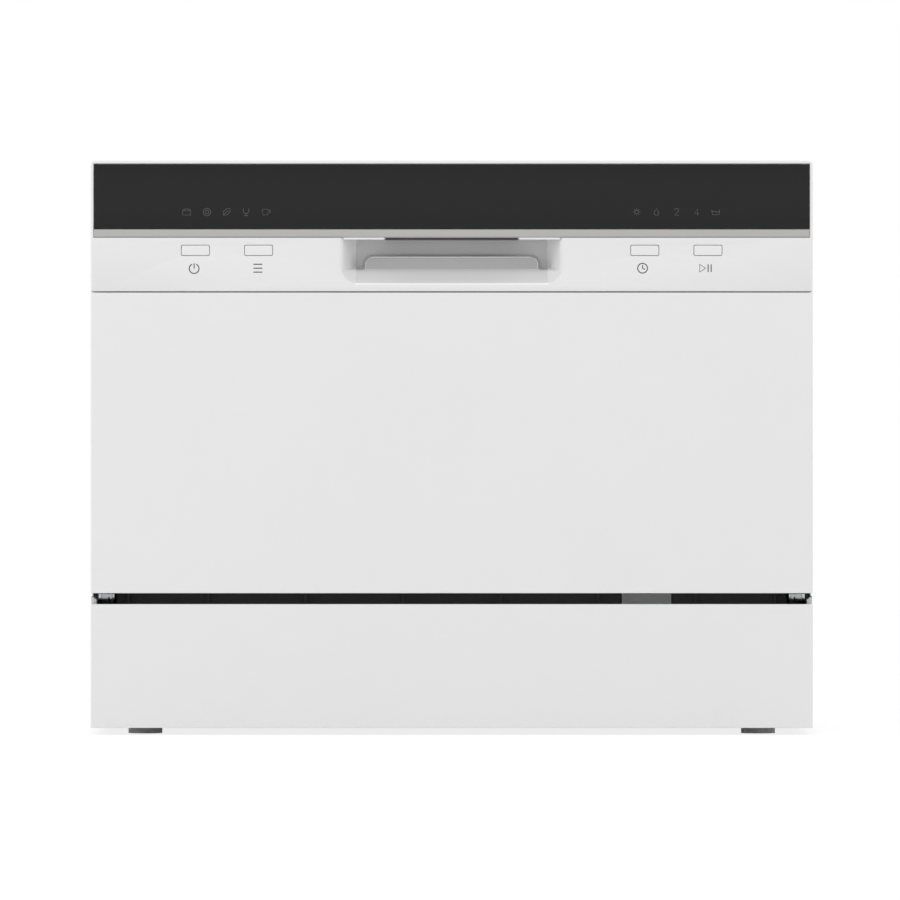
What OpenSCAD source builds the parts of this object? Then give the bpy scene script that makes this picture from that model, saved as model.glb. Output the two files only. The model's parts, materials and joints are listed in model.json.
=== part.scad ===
// Countertop dishwasher: a low cabinet with a drop-down door, one wire rack
// that rolls out over the open door, a spray arm and the pumps in the base.
// The door's face looks towards -Y, +X is to the right and +Z is up.

/* [Cabinet] */
// Overall width
body_w = 550; // [540:1:570]
// Overall depth
body_d = 500; // [490:1:540]
// Overall height with the feet
body_h = 438; // [430:1:460]
// Thickness of the painted side and rear sheets
sheet_t = 1; // [0.8:0.1:1.2]
// Height of the worktop
top_h = 18; // [17:0.5:24]
// Wall of the worktop's moulded shell
top_wall = 3; // [2:0.25:4]
// Radius of the worktop's corners seen from above
top_corner_r = 6; // [4:0.5:10]
// Radius of the worktop's upper edges
top_edge_r = 3; // [1:0.5:5]
// Height of the feet
foot_h = 5.5; // [4:0.5:7]
// Radius of a foot
foot_r = 13; // [9:0.5:16]
// Width of the inward flanges on the side sheets
flange_w = 16; // [12:0.5:17]

/* [Front] */
// Height of the kick panel
kick_h = 94.2; // [90:0.2:96]
// Wall of the kick panel
kick_t = 2; // [1.5:0.25:2.5]
// Gap between the kick panel and the door
door_gap = 8.4; // [7.6:0.2:9]
// Thickness of the door
door_t = 34; // [32:0.5:38]
// Space between the closed door and the cabinet
door_air = 2; // [2:0.25:3]
// Height of the control fascia
fascia_h = 99.7; // [96:0.1:106]
// Seam between the fascia and the door sheet
seam = 0.8; // [0.5:0.1:1.2]
// How far the door's top lies below the worktop's surface
top_reveal = 0.5; // [0:0.25:2]
// Thickness of the door's sheets
door_sheet_t = 0.8; // [0.6:0.1:1]
// Radius of the door's rounded vertical edges
edge_r = 1.5; // [0.5:0.25:2.5]
// Wall of the fascia
fascia_t = 3; // [2.5:0.25:3.5]
// Width of the fascia's rim round the dark insert
rim_w = 2.2; // [1.5:0.1:4]
// Height of the dark insert
insert_h = 50; // [40:0.5:52]
// Height of the metallic trim strip
trim_h = 6.4; // [4:0.2:8]
// Depth of the recess that holds the insert and the trim strip
insert_d = 1.6; // [1.2:0.1:1.8]

/* [Handle] */
// Width of the handle recess
scoop_w = 168; // [150:1:190]
// Height of the handle recess
scoop_h = 34.7; // [30:0.5:37]
// Radius of the recess's lower corners
scoop_r = 13; // [8:0.5:15]
// Depth of the recess
scoop_d = 24; // [20:0.5:25]
// How far the side walls of the recess lean in
scoop_lean = 11; // [6:0.5:14]
// Width of the latch lever
lever_w = 100.5; // [80:0.5:120]
// Thickness of the latch lever
lever_t = 2.5; // [2:0.1:3]

/* [Buttons] */
// Width of a button
button_w = 21.1; // [16:0.1:26]
// Height of a button
button_h = 7.6; // [6:0.1:10]
// Distance of the inner buttons from the middle
button_in_x = 147; // [130:0.5:155]
// Distance of the outer buttons from the middle
button_out_x = 195.1; // [185:0.1:215]
// Depth of the buttons' centres below the trim strip
button_drop = 9.7; // [8:0.1:14]
// Travel of a button
button_travel = 1.2; // [0.6:0.1:1.4]

/* [Door hinge] */
// Distance of the hinge axis behind the door's face
axis_back = 5.5; // [5:0.1:6]
// Distance of the hinge axis below the door's edge
axis_drop = 1.4; // [1:0.1:2]
// Radius of the hinge pins
pin_r = 2.5; // [2:0.1:2.8]
// Radius of the hinge eyes
eye_r = 4.2; // [3.8:0.1:4.4]
// Thickness of a hinge bracket
bracket_t = 5; // [4:0.25:5.5]
// Thickness of a hinge arm
arm_t = 2; // [1.5:0.1:2.5]
// Distance of the hinge brackets' outer faces from the cabinet's side
bracket_in = 8.5; // [8:0.1:10]
// Reach of the arm's tail behind the hinge axis
tail_y = 22; // [20:0.5:23]
// Drop of the arm's tail below the hinge axis
tail_z = 10; // [8:0.5:12]
// Mean radius of a door spring's coil
coil_r = 3.6; // [3:0.1:4]
// Radius of the spring wire
wire_r = 0.8; // [0.6:0.05:0.9]

/* [Tub] */
// Wall of the steel tub
tub_wall = 1; // [0.6:0.1:1.5]
// Space between the tub and the cabinet's side
side_space = 26; // [24:0.5:30]
// Height of the tub's underside above the feet's tops
tub_lift = 111.5; // [110:0.5:116]
// Space between the tub and the worktop
top_space = 15; // [13:0.5:18]
// Space between the tub and the back
rear_space = 44; // [40:0.5:60]
// Radius of the tub's long edges
tub_r = 20; // [12:1:28]
// Height of the tub's front lip above its floor
lip_h = 13; // [8:0.5:16]
// Width of the door gasket
gasket_w = 7; // [5:0.5:7.5]
// Radius of the sump's opening
sump_r = 62; // [58:0.5:64]
// Radius of the filter cylinder
filter_r = 36; // [30:0.5:38]
// Length of the spray arm from its axis
spray_l = 190; // [150:1:194]
// Radius of the spray arm's feed tube
feed_r = 12; // [9:0.5:14]

/* [Rack] */
// Space between the rack's side wires and the tub's walls
rack_side_gap = 14; // [13.5:0.5:18]
// Height of the rack's floor above the tub's floor
rack_lift = 36; // [35:0.5:42]
// Height of the rack
rack_h = 108; // [100:1:112]
// Radius of the rack's thin wires
wire_thin = 1.5; // [1.2:0.1:1.6]
// Radius of the rack's rim wire
wire_rim = 2.2; // [1.8:0.1:2.4]
// Pitch of the floor wires
wire_pitch = 40; // [36:1:44]
// Pitch of the plate tines
tine_pitch = 24; // [20:1:30]
// Height of the plate tines
tine_h = 70; // [50:1:72]
// Radius of a rail roller
roller_r = 7; // [6:0.5:8]
// Width of the cutlery basket
basket_w = 76; // [60:1:78]
// Length of the cutlery basket
basket_l = 200; // [150:5:205]
// Height of the cutlery basket
basket_h = 90; // [70:1:92]
// Width of the fold-up cup shelf
shelf_w = 97; // [70:1:100]

/* [Water] */
// Outer radius of the water inlet's thread
inlet_r = 13.2; // [12:0.1:14]
// Radius of the drain spigot
drain_r = 9.5; // [8:0.1:11]
// Radius of the cable gland's opening
gland_r = 9; // [7:0.5:11]
// Wall of the base tray
base_wall = 3; // [2:0.25:3.5]

/* [Hidden] */
$fn = 48;
// Clearance between pieces that lie against each other
gap = 0.3;
// Running clearance round pins and shafts
run = 0.06;
// Overshoot of a cut past the face that it opens
cut = 1;

// Colours
paint_white = [0.9, 0.9, 0.9];
plastic_white = [0.91, 0.91, 0.91];
plastic_dark = [0.13, 0.13, 0.14];
plastic_grey = [0.6, 0.61, 0.62];
steel = [0.75, 0.76, 0.77];
zinc = [0.68, 0.69, 0.71];
champagne = [0.7, 0.69, 0.66];
rubber_dark = [0.1, 0.1, 0.1];
rack_grey = [0.62, 0.65, 0.69];
board_green = [0.1, 0.35, 0.2];
felt_brown = [0.3, 0.27, 0.24];
hose_grey = [0.45, 0.46, 0.48];

// Main planes
half_w = body_w / 2;
front_y = -body_d / 2;
rear_y = body_d / 2;
kick_top = foot_h + kick_h;
door_z0 = kick_top + door_gap;
door_z1 = body_h - top_reveal;
fascia_z0 = door_z1 - fascia_h;
sheet_z1 = fascia_z0 - seam;
door_back = front_y + door_t;
frame_y = door_back + door_air;
cover_z0 = body_h - top_h;
side_z1 = cover_z0 - gap;
inner_x = half_w - sheet_t - gap;

// Fasteners: radius of a shank, of its hole and of its head, and the head's height
screw_r = 1.5;
screw_hole_r = 1.7;
screw_head_r = 3.2;
screw_head_h = 1.5;
screw_l = 8;
// The worktop and the rear sheet end a screw head short of the cabinet's depth
back_y = rear_y - screw_head_h;

// Hinge
axis_y = front_y + axis_back;
axis_z = door_z0 - axis_drop;
bracket_x1 = half_w - bracket_in;
bracket_x0 = bracket_x1 - bracket_t;
arm_x1 = bracket_x0 - 1;
arm_x0 = arm_x1 - arm_t;
arm_mid = (arm_x0 + arm_x1) / 2;
spring_y = axis_y + tail_y;
tail_hole_z = axis_z - tail_z;
lug_hole_z = foot_h + 14.5;
ring_r = 4;
hook_hole_r = wire_r + 0.4;
hinge_cut = [arm_x0 - 2.2, bracket_x1 + 3];

// Tub
tub_out = half_w - side_space;
tub_in = tub_out - tub_wall;
tub_under = foot_h + tub_lift;
tub_floor = tub_under + tub_wall;
tub_roof = cover_z0 - top_space;
tub_top_in = tub_roof - tub_wall;
tub_back = rear_y - rear_space;
tub_back_in = tub_back - tub_wall;
flange_y = frame_y + sheet_t + 0.1;
flange_z0 = tub_under - 7;
mouth_z0 = tub_floor + lip_h;
// Seam between the tub's bottom pan and its wrapper, and the depth that both fill
tub_split_z = tub_floor + tub_r + 8;
tub_skin_y = [flange_y + tub_wall + gap, tub_back_in - gap];

// Base tray
base_x = inner_x;
base_y0 = frame_y + 2;
base_y1 = rear_y - 4;
base_floor = foot_h + base_wall;
base_top = flange_z0 - gap;
bay_y = rear_y - 25;
bay_back = bay_y + base_wall;
// Outer face of the collars on the bulkhead, where the spigots' free ends begin
collar_y = bay_back + 3.3;
rib_pitch = 74.6;
rib_xs = [for (s = [-1, 1], k = [0.5, 1.5, 2.5]) s * k * rib_pitch];
rib_end_x = half_w - 27.7;
rib_t = 2;
rib_d = 5;
post_w = 30;
post_x = tub_out - 9;
post_ys = [base_y0 + 32, rear_y - 100];
pad_y = [base_y0 + base_wall + 3, base_y0 + base_wall + 21];
foot_x = half_w - 40;
foot_ys = [front_y + 60, rear_y - 35];
foot_plug_r = 4;

// Duct of the wiring that shows in the gap under the door
duct_x = [130.2, 167.9];

// Sump, pumps and feed
hub_x = 0;
hub_y = -4;
sump_x = half_w - 180;
sump_y = hub_y - 91;
sump_wall = 2.5;
sump_z0 = foot_h + 39.5;
sump_flange_r = sump_r + 10;
pump_z = sump_z0 + 15;
pump_port_r = 14;
volute_r = 36;
volute_x = [sump_x + sump_r + 15, sump_x + sump_r + 48];
motor_r = 32;
motor_x1 = volute_x[1] + 50;
feed_z = foot_h + 44.5;
heater_r = 20;
elbow_r = hub_y - sump_y - 50;
elbow_y = hub_y - elbow_r;
outlet_x = (volute_x[0] + volute_x[1]) / 2;
elbow_x = outlet_x - elbow_r;
hose_r = 11;
heater_x = [hub_x + 58 + gap, elbow_x - gap];
drain_pump_r = 24;
drain_pump_x = [sump_x - sump_r - 83, sump_x - sump_r - 20];
drain_x = drain_pump_x[0] + 15;
drain_hose_r = 10;
gland_x = half_w - 125;
gland_z = foot_h + 34.5;

// Softener and the salt cap
soft_x = [60 - half_w, drain_pump_x[0] - 55];
soft_y = [front_y + 85, front_y + 210];
salt_x = (soft_x[0] + soft_x[1]) / 2;
salt_y = soft_y[0] + 50;
neck_r = 29;
neck_in = 26;
soft_top = tub_under - 21;

// Inlet valve and the air break
valve_x = [125 - half_w, 165 - half_w];
valve_z = foot_h + 49.5;
inlet_hose_r = 7;
bend_r = 20;
break_x = -(tub_out + (side_space - sheet_t) / 2);
break_half = (side_space - sheet_t) / 2 - gap;
break_y = [rear_y - 190, tub_back + 8];
break_z = [tub_under + 43, tub_under + 223];
inlet_y = tub_back - 1;

// Screws of the rear sheet and the worktop
rear_screw_x = half_w - 10;
rear_screw_zs = [tub_under + 15, (tub_under + cover_z0) / 2, cover_z0 - 20];
cover_screw_x = half_w - 75;
cover_screw_z = body_h - 9;

// Leak float
float_x = half_w - 125;
float_y = 120;
float_r = 12;

// Door insides
lining_y = [door_back - 1, door_back];
lining_x = half_w - door_sheet_t - gap;
lining_z = [door_z0 + 4, door_z1 - 3.5];
side_rail_x = arm_x1 + gap;
emboss = 1.5;
emboss_x = tub_in - 12;
emboss_z = [door_z0 + 42, tub_top_in - 3.9];
lip_x0 = half_w - 12.5;
door_screw_x = half_w - 9;
sheet_screw_z = [door_z0 + 42, sheet_z1 - 13.9];
sheet_screw_mid = (sheet_screw_z[0] + sheet_screw_z[1]) / 2 + 3.5;
sheet_screw_zs = [sheet_screw_z[0], sheet_screw_mid, sheet_screw_z[1]];
fascia_screw_z = door_z1 - 12.5;
felt_x = half_w - 25;
felt_y = [front_y + door_sheet_t + gap, front_y + 9];
felt_z = [door_z0 + 17, sheet_z1 - 4];

// Dispenser
disp_h = 110;
disp_z0 = sheet_z1 - disp_h - 11.9;
disp_z = [disp_z0, disp_z0 + disp_h];
disp_x = [-85, 75];
disp_face = [door_back + emboss + gap, door_back + emboss + gap + 4];
well_x = [-70, -8];
well_z = [disp_z0 + 13, disp_z0 + 55];
lid_x = [-75, -3];
lid_z = [disp_z0 + 6.9, disp_z0 + 61.1];
lid_t = 2.7;
cap_x = 35;
cap_z = disp_z0 + 85;
cap_r = 14.5;
cap_plug_r = 12;

// Fascia
insert_z = [door_z1 - 2.3 - insert_h, door_z1 - 2.3];
trim_z = [insert_z[0] - trim_h, insert_z[0]];
insert_x = half_w - rim_w;
recess_y = front_y + insert_d;
wall_y = front_y + fascia_t;
fascia_back = door_back - 1 - gap;
scoop_z1 = trim_z[0];
scoop_z0 = scoop_z1 - scoop_h;
scoop_wall = 2.2;
ledge_w = 128;
ledge_z = scoop_z1 - 13.2;
ramp_z = scoop_z0 + 10.9;
ramp_y = front_y + 14;
ledge_y = front_y + 15;
scoop_back = front_y + scoop_d;
button_z = trim_z[0] - button_drop;
button_xs = [-button_out_x, -button_in_x, button_in_x, button_out_x];
button_gap = 0.35;
button_flange = 1.2;
lamp_x = [button_in_x - 11, button_out_x + 11.9];
board_post_xs = [button_in_x - 22, button_out_x + 19.9];
lamp_z = insert_z[0] + 13.1;
board_y = [front_y + 9, front_y + 10.6];
board_z = [insert_z[0] + 1, insert_z[0] + 27];

// Latch
lever_y = front_y + 6.5;
lever_z = trim_z[0] + 3.7;
lever_under = trim_z[0] - 1.6;
lever_back = lever_y + 14;
lever_pin_r = 1.5;
lug_t = 3;
slot_y = [front_y + fascia_t - 0.2, lever_back + 1.9];
bolt_x = 5;
bolt_y = [lever_back - 2.5, lever_back + 0.5];
bolt_z0 = lever_under + lever_t + gap;
hook_z = [cover_z0 - 2, cover_z0 + 4];
hook_y1 = frame_y + 13;
barb_z = cover_z0 - 6;
latch_slot_x = 9;
bar_y = frame_y + 7.5;
bar_z = barb_z - 3;
bar_r = 2;

// Rack
rack_half = tub_in - rack_side_gap;
rack_z = tub_floor + rack_lift;
rim_z = rack_z + rack_h;
rack_back = tub_back_in - 15;
foot_front = door_back + 92;
rim_front = door_back + 30;
cross_z = rack_z - 2 * wire_thin + 0.6;
cross_ys = [for (k = [0:5]) foot_front + 12 + k * (rack_back - foot_front - 22) / 5];
// Distance between the axes of two thin wires that are welded where they cross
weld = 2 * wire_thin - 0.6;
// The same distance where the wires belong to two grids
join = 2 * wire_thin + gap;
wire_n = floor((rack_half - 20) / wire_pitch);
wire_xs = [for (k = [-wire_n:wire_n]) k * wire_pitch];
mid_z = rack_z + rack_h / 2;
mid_front = (foot_front + rim_front) / 2;
basket_x = [rack_half - 8 - basket_w, rack_half - 8];
basket_y = [foot_front + 24, foot_front + 24 + basket_l];
tine_r = 1.8;
tine_ys = [foot_front + 84, foot_front + 204];
tine_x0 = shelf_w + 27 - rack_half;
tine_n = floor((basket_x[0] - 19 - tine_x0) / tine_pitch);
tine_xs = [for (k = [0:tine_n]) tine_x0 + k * tine_pitch];
tine_base_z = rack_z + wire_thin + tine_r + gap;
rail_z = rack_z + 81;
rail_t = 1.2;
rail_x = rack_half + wire_thin + gap;
rail_out = tub_in - 4;
rail_y = [door_back + 16, rack_back - 2];
roller_x = [rail_x + rail_t + 1.5, rail_out];
roller_y = frame_y + 24;
axle_r = 3;
glide_y = [foot_front + 64, foot_front + 104];

// Cup shelf and its hinge rod on the rack
shelf_x = -(rack_half - 7);
shelf_z = rack_z + 92;
rod_r = 2;
shelf_y = [for (k = [0, 4]) cross_ys[k] + join + wire_thin + rod_r - 0.9];
knuckle_r = 4.5;
shelf_t = 3;

// Cutlery basket
basket_z = rack_z + wire_thin + gap;
basket_t = 2;
handle_h = 34;

// Shapes that repeat. Each x, y and z is a pair of its lowest and highest value.
module block(x, y, z) {
    translate([x[0], y[0], z[0]])
        cube([x[1] - x[0], y[1] - y[0], z[1] - z[0]]);
}
module prism_x(x) {
    translate([x[0], 0, 0]) rotate([90, 0, 90]) linear_extrude(x[1] - x[0]) children();
}
module prism_y(y) {
    translate([0, y[1], 0]) rotate([90, 0, 0]) linear_extrude(y[1] - y[0]) children();
}
module prism_z(z) {
    translate([0, 0, z[0]]) linear_extrude(z[1] - z[0]) children();
}
module rod_x(x, y, z, r) {
    translate([x[0], y, z]) rotate([0, 90, 0]) cylinder(h = x[1] - x[0], r = r);
}
module rod_y(x, y, z, r) {
    translate([x, y[0], z]) rotate([-90, 0, 0]) cylinder(h = y[1] - y[0], r = r);
}
module rod_z(x, y, z, r) {
    translate([x, y, z[0]]) cylinder(h = z[1] - z[0], r = r);
}
module rect(x, y) {
    translate([x[0], y[0]]) square([x[1] - x[0], y[1] - y[0]]);
}
module round_rect(x, y, r) {
    rect([x[0] + r, x[1] - r], y);
    rect(x, [y[0] + r, y[1] - r]);
    for (cx = [x[0] + r, x[1] - r], cy = [y[0] + r, y[1] - r]) translate([cx, cy]) circle(r);
}
// A rectangle whose upper two corners are round
module top_round_rect(x, y, r) {
    rect(x, [y[0], y[1] - r]);
    rect([x[0] + r, x[1] - r], y);
    for (cx = [x[0] + r, x[1] - r]) translate([cx, y[1] - r]) circle(r);
}
// A rectangle whose lower two corners are round
module low_round_rect(x, y, r) {
    rect(x, [y[0] + r, y[1]]);
    rect([x[0] + r, x[1] - r], y);
    for (cx = [x[0] + r, x[1] - r]) translate([cx, y[0] + r]) circle(r);
}
module both_sides() {
    children();
    mirror([1, 0, 0]) children();
}
// A straight wire between two points of one YZ plane
module wire_yz(x, a, b, r) {
    d = b - a;
    translate([x, a[0], a[1]]) rotate([-atan2(d[0], d[1]), 0, 0]) cylinder(h = norm(d), r = r);
}
// A sheet that wraps round the front with rounded vertical edges
module wrap_sheet(y1, z, t) {
    difference() {
        prism_z(z) low_round_rect([-half_w, half_w], [front_y, y1], edge_r);
        block([t - half_w, half_w - t], [front_y + t, y1 + cut], [z[0] - cut, z[1] + cut]);
    }
}

// Base tray with the ribbed front wall that shows in the gap under the door
module base_tray() {
    color(plastic_dark) difference() {
        union() {
            block([-base_x, base_x], [base_y0, base_y1], [foot_h, base_floor]);
            block([-base_x, base_x], [base_y0, base_y0 + base_wall], [foot_h, base_top]);
            block([-base_x, base_x], [bay_y, bay_back], [foot_h, base_top]);
            both_sides() {
                block([base_x - base_wall, base_x], [base_y0, base_y1], [foot_h, base_top]);
                for (y = post_ys)
                    block([post_x, base_x - 1], [y, y + post_w], [foot_h, tub_under - gap]);
                block([bracket_x1 + gap, base_x - 1], pad_y, [base_floor - 1, base_top - 10]);
                block([arm_x0, arm_x1], [spring_y - 4.5, base_y0 + 1], [lug_hole_z - 5, lug_hole_z + 4]);
            }
            for (x = concat(rib_xs, [-rib_end_x, rib_end_x]))
                block([x - rib_t / 2, x + rib_t / 2], [base_y0 - rib_d, base_y0 + 1], [base_floor, base_top]);
            float_guide();
        }
        both_sides() {
            block(hinge_cut, [base_y0 - cut, base_y0 + base_wall + cut], [axis_z - 8, base_top + cut]);
            rod_x([arm_x0 - cut, arm_x1 + cut], spring_y, lug_hole_z, hook_hole_r);
            for (y = foot_ys)
                rod_z(foot_x, y, [foot_h - cut, base_floor + cut], foot_plug_r + gap);
        }
        block([duct_x[0] - gap, duct_x[1] + gap], [base_y0 - cut, base_y0 + 1.5], [base_floor + 8, base_top + cut]);
        rod_y((valve_x[0] + valve_x[1]) / 2, [bay_y - cut, bay_back + cut], valve_z, inlet_r + gap);
        rod_y(drain_x, [bay_y - cut, bay_back + cut], pump_z, drain_r + gap);
        rod_y(gland_x, [bay_y - cut, bay_back + cut], gland_z, gland_r + gap);
    }
}
module float_guide() {
    translate([float_x, float_y, 0]) difference() {
        union() {
            for (s = [-1, 1])
                block([s * 15.5 - 1.5, s * 15.5 + 1.5], [-5, 5], [foot_h, base_floor + 28]);
            block([-17, 17], [-5, 5], [base_floor + 25, base_floor + 28]);
        }
        cylinder(h = base_floor + 40, r = 3.3);
    }
}

module rubber_feet() {
    color(rubber_dark) both_sides() for (y = foot_ys) translate([foot_x, y, 0]) {
        cylinder(h = foot_h, r = foot_r);
        cylinder(h = base_floor, r = foot_plug_r);
    }
}

// Kick panel, with the chamfered tabs that show at the ends of the gap
module kick_panel() {
    tab_w = 4.2;
    kick_lip_x = half_w - 75;
    color(paint_white) {
        wrap_sheet(frame_y - gap, [foot_h, kick_top], kick_t);
        difference() {
            block([1 - half_w, half_w - 1], [front_y + 1, front_y + 9], [kick_top - 1, kick_top]);
            both_sides() block(hinge_cut, [front_y + kick_t, front_y + 10], [kick_top - 2, kick_top + 1]);
        }
        block([1 - half_w, half_w - 1], [front_y + 1, frame_y - gap], [foot_h, foot_h + 2]);
        block([-kick_lip_x, kick_lip_x], [frame_y - gap - 1, base_y0 - gap], [foot_h, foot_h + 2]);
        both_sides() prism_y([axis_y + 8.5, frame_y - gap]) polygon([
            [half_w - tab_w, kick_top], [half_w, kick_top],
            [half_w, kick_top + 5.9], [half_w - tab_w, kick_top + 3.3]
        ]);
        both_sides() block([half_w - tab_w, half_w - 1], [axis_y + 8.5, frame_y - gap], [kick_top - 4, kick_top]);
    }
}

// Right side sheet; the left one mirrors it
module side_panel() {
    z = [foot_h + 2.5, side_z1];
    flange_x = [half_w - sheet_t - flange_w, half_w];
    rear_in = back_y - sheet_t - gap;
    color(paint_white) difference() {
        union() {
            block([half_w - sheet_t, half_w], [frame_y, back_y], z);
            block(flange_x, [frame_y, frame_y + sheet_t], [flange_z0 + 2, side_z1]);
            block(flange_x, [rear_in - sheet_t, rear_in], [flange_z0 + 2, side_z1]);
        }
        for (s = rear_screw_zs)
            rod_y(rear_screw_x, [rear_in - 5, rear_in + 5], s, screw_hole_r);
    }
}

module rear_panel() {
    y = [back_y - sheet_t, back_y];
    turn_x = half_w - sheet_t - flange_w - 1;
    color(paint_white) difference() {
        union() {
            block([-inner_x, inner_x], y, [flange_z0, side_z1]);
            for (z = [flange_z0, side_z1 - sheet_t])
                block([-turn_x, turn_x], [back_y - 10, back_y], [z, z + sheet_t]);
        }
        both_sides() for (z = rear_screw_zs) rod_y(rear_screw_x, [y[0] - cut, y[1] + cut], z, screw_hole_r);
    }
}

module top_cover() {
    y = [frame_y, back_y];
    color(plastic_white) difference() {
        intersection() {
            prism_z([cover_z0, body_h]) round_rect([-half_w, half_w], y, top_corner_r);
            prism_y([y[0] - cut, y[1] + cut])
                top_round_rect([-half_w, half_w], [cover_z0 - cut, body_h], top_edge_r);
            prism_x([-half_w - cut, half_w + cut])
                top_round_rect(y, [cover_z0 - cut, body_h], top_edge_r);
        }
        block([top_wall - half_w, half_w - top_wall], [y[0] + top_wall, y[1] - top_wall],
            [cover_z0 - cut, body_h - top_wall]);
        block([-latch_slot_x, latch_slot_x], [y[0] - cut, y[0] + top_wall + cut], [cover_z0 - cut, hook_z[1] + 7]);
        both_sides() rod_y(cover_screw_x, [y[1] - top_wall - cut, y[1] + cut], cover_screw_z, screw_hole_r);
    }
}

// Steel tub: a wrapper over the roof and sides, a bottom pan and a rear wall, a
// gap apart at their welds, as is the frame round the mouth
module tub_skin(z) {
    intersection() {
        difference() {
            round_rect([-tub_out, tub_out], [tub_under, tub_roof], tub_r + tub_wall);
            round_rect([-tub_in, tub_in], [tub_floor, tub_top_in], tub_r);
        }
        rect([-half_w, half_w], z);
    }
}
module tub() {
    z = [tub_under - cut, tub_floor + cut];
    color(steel) {
        prism_y(tub_skin_y) tub_skin([tub_split_z, body_h]);
        difference() {
            prism_y(tub_skin_y) tub_skin([foot_h, tub_split_z - gap]);
            rod_z(sump_x, sump_y, z, sump_r);
            rod_z(hub_x, hub_y, z, feed_r + 3);
            rod_z(salt_x, salt_y, z, neck_r + gap);
        }
        prism_y([tub_back_in, tub_back])
            round_rect([-tub_out, tub_out], [tub_under, tub_roof], tub_r + tub_wall);
    }
}
module tub_front_frame() {
    color(steel) difference() {
        block([-inner_x, inner_x], [flange_y, flange_y + tub_wall], [flange_z0, side_z1]);
        prism_y([flange_y - cut, flange_y + tub_wall + cut])
            round_rect([-tub_in, tub_in], [mouth_z0, tub_top_in], tub_r);
        block([-latch_slot_x, latch_slot_x], [flange_y - cut, flange_y + tub_wall + cut],
            [barb_z - 1.5, side_z1 + cut]);
    }
}

module tub_gasket() {
    x0 = tub_in + 1.5;
    color(rubber_dark) difference() {
        prism_y([door_back + gap, flange_y]) round_rect([-x0 - gasket_w, x0 + gasket_w],
            [mouth_z0 - 4 - gasket_w, tub_top_in + gasket_w], tub_r + gasket_w);
        prism_y([door_back - cut, flange_y + cut]) round_rect([-x0, x0], [mouth_z0 - 4, tub_top_in + 0.5], tub_r);
    }
}

// Hinge brackets on the base tray
module hinge_brackets() {
    reach = base_y0 + base_wall + 24 - axis_y;
    leg_y = base_y0 + base_wall + 2 - axis_y;
    color(zinc) both_sides() difference() {
        translate([0, axis_y, axis_z]) prism_x([bracket_x0, bracket_x1]) {
            circle(eye_r);
            polygon([[0, -eye_r], [6, -6.5], [reach, -6.5], [reach, 1], [0, 1]]);
            rect([leg_y, reach], [base_floor + 4 - axis_z, 0]);
        }
        rod_x([bracket_x0 - cut, bracket_x1 + cut], axis_y, axis_z, pin_r + run);
    }
}

module hinge_pins() {
    color(steel) both_sides() {
        rod_x([arm_x0 - 1.5, bracket_x1 + gap + 1.5], axis_y, axis_z, pin_r);
        rod_x([bracket_x1 + gap, bracket_x1 + gap + 2], axis_y, axis_z, eye_r - 0.4);
        rod_x([arm_x0 - gap - 1.2, arm_x0 - gap], axis_y, axis_z, eye_r - 0.7);
    }
}

// Counterbalance springs, hooked between the base tray and the arms' tails
module door_springs() {
    z0 = lug_hole_z + 2 * ring_r - 0.4;
    z1 = tail_hole_z - 2 * ring_r + 0.4;
    turns = floor((z1 - z0) / (2.2 * wire_r));
    pitch = (z1 - z0) / turns;
    outer = [for (k = [0:turns - 1]) for (p = [[0.25, 1], [0.75, 1], [1, 0.2]])
        [coil_r + (p[1] - 0.2) * wire_r * 1.25, z0 + (k + p[0]) * pitch]];
    color(zinc) both_sides() translate([arm_mid, spring_y, 0]) {
        rotate_extrude() polygon(concat([[coil_r - wire_r, z0], [coil_r, z0]], outer, [[coil_r - wire_r, z1]]));
        for (z = [lug_hole_z + ring_r, tail_hole_z - ring_r])
            translate([0, 0, z]) rotate([90, 0, 0]) rotate_extrude() translate([ring_r, 0]) circle(wire_r);
    }
}

// Strike above the tub's mouth, which the latch hook drops behind
module door_strike() {
    ear_x = [latch_slot_x + 1, latch_slot_x + 3];
    foot_z = [tub_roof + gap, tub_roof + gap + 2];
    color(zinc) {
        block([-ear_x[1] - 4, ear_x[1] + 4], [frame_y + 5, frame_y + 34], foot_z);
        both_sides() block(ear_x, [frame_y + 5, frame_y + 14], [foot_z[0], bar_z + 3.5]);
        rod_x([-ear_x[0] - 1, ear_x[0] + 1], bar_y, bar_z, bar_r);
    }
}

module sump() {
    flange = [tub_under - gap - sump_wall, tub_under - gap];
    color(plastic_dark) difference() {
        union() {
            rod_z(sump_x, sump_y, [sump_z0, flange[1]], sump_r);
            rod_z(sump_x, sump_y, flange, sump_flange_r);
            rod_x([sump_x, volute_x[0] - gap], sump_y, pump_z, pump_port_r);
            rod_x([drain_pump_x[1] + gap, sump_x], sump_y, pump_z, drain_hose_r);
        }
        rod_z(sump_x, sump_y, [sump_z0 + sump_wall, flange[1] + cut], sump_r - sump_wall);
        rod_x([sump_x, volute_x[0] + cut], sump_y, pump_z, pump_port_r - 2);
        rod_x([drain_pump_x[1] - cut, sump_x], sump_y, pump_z, drain_hose_r - 2);
    }
}

module flat_filter() {
    z = [tub_floor + gap, tub_floor + gap + 1.2];
    color(steel) difference() {
        union() {
            rod_z(sump_x, sump_y, z, sump_r + 8);
            rod_z(sump_x, sump_y, [tub_floor - 10, z[1]], filter_r + 4);
        }
        rod_z(sump_x, sump_y, [tub_floor - 11, z[1] + cut], filter_r + 2.5);
    }
}

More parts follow.
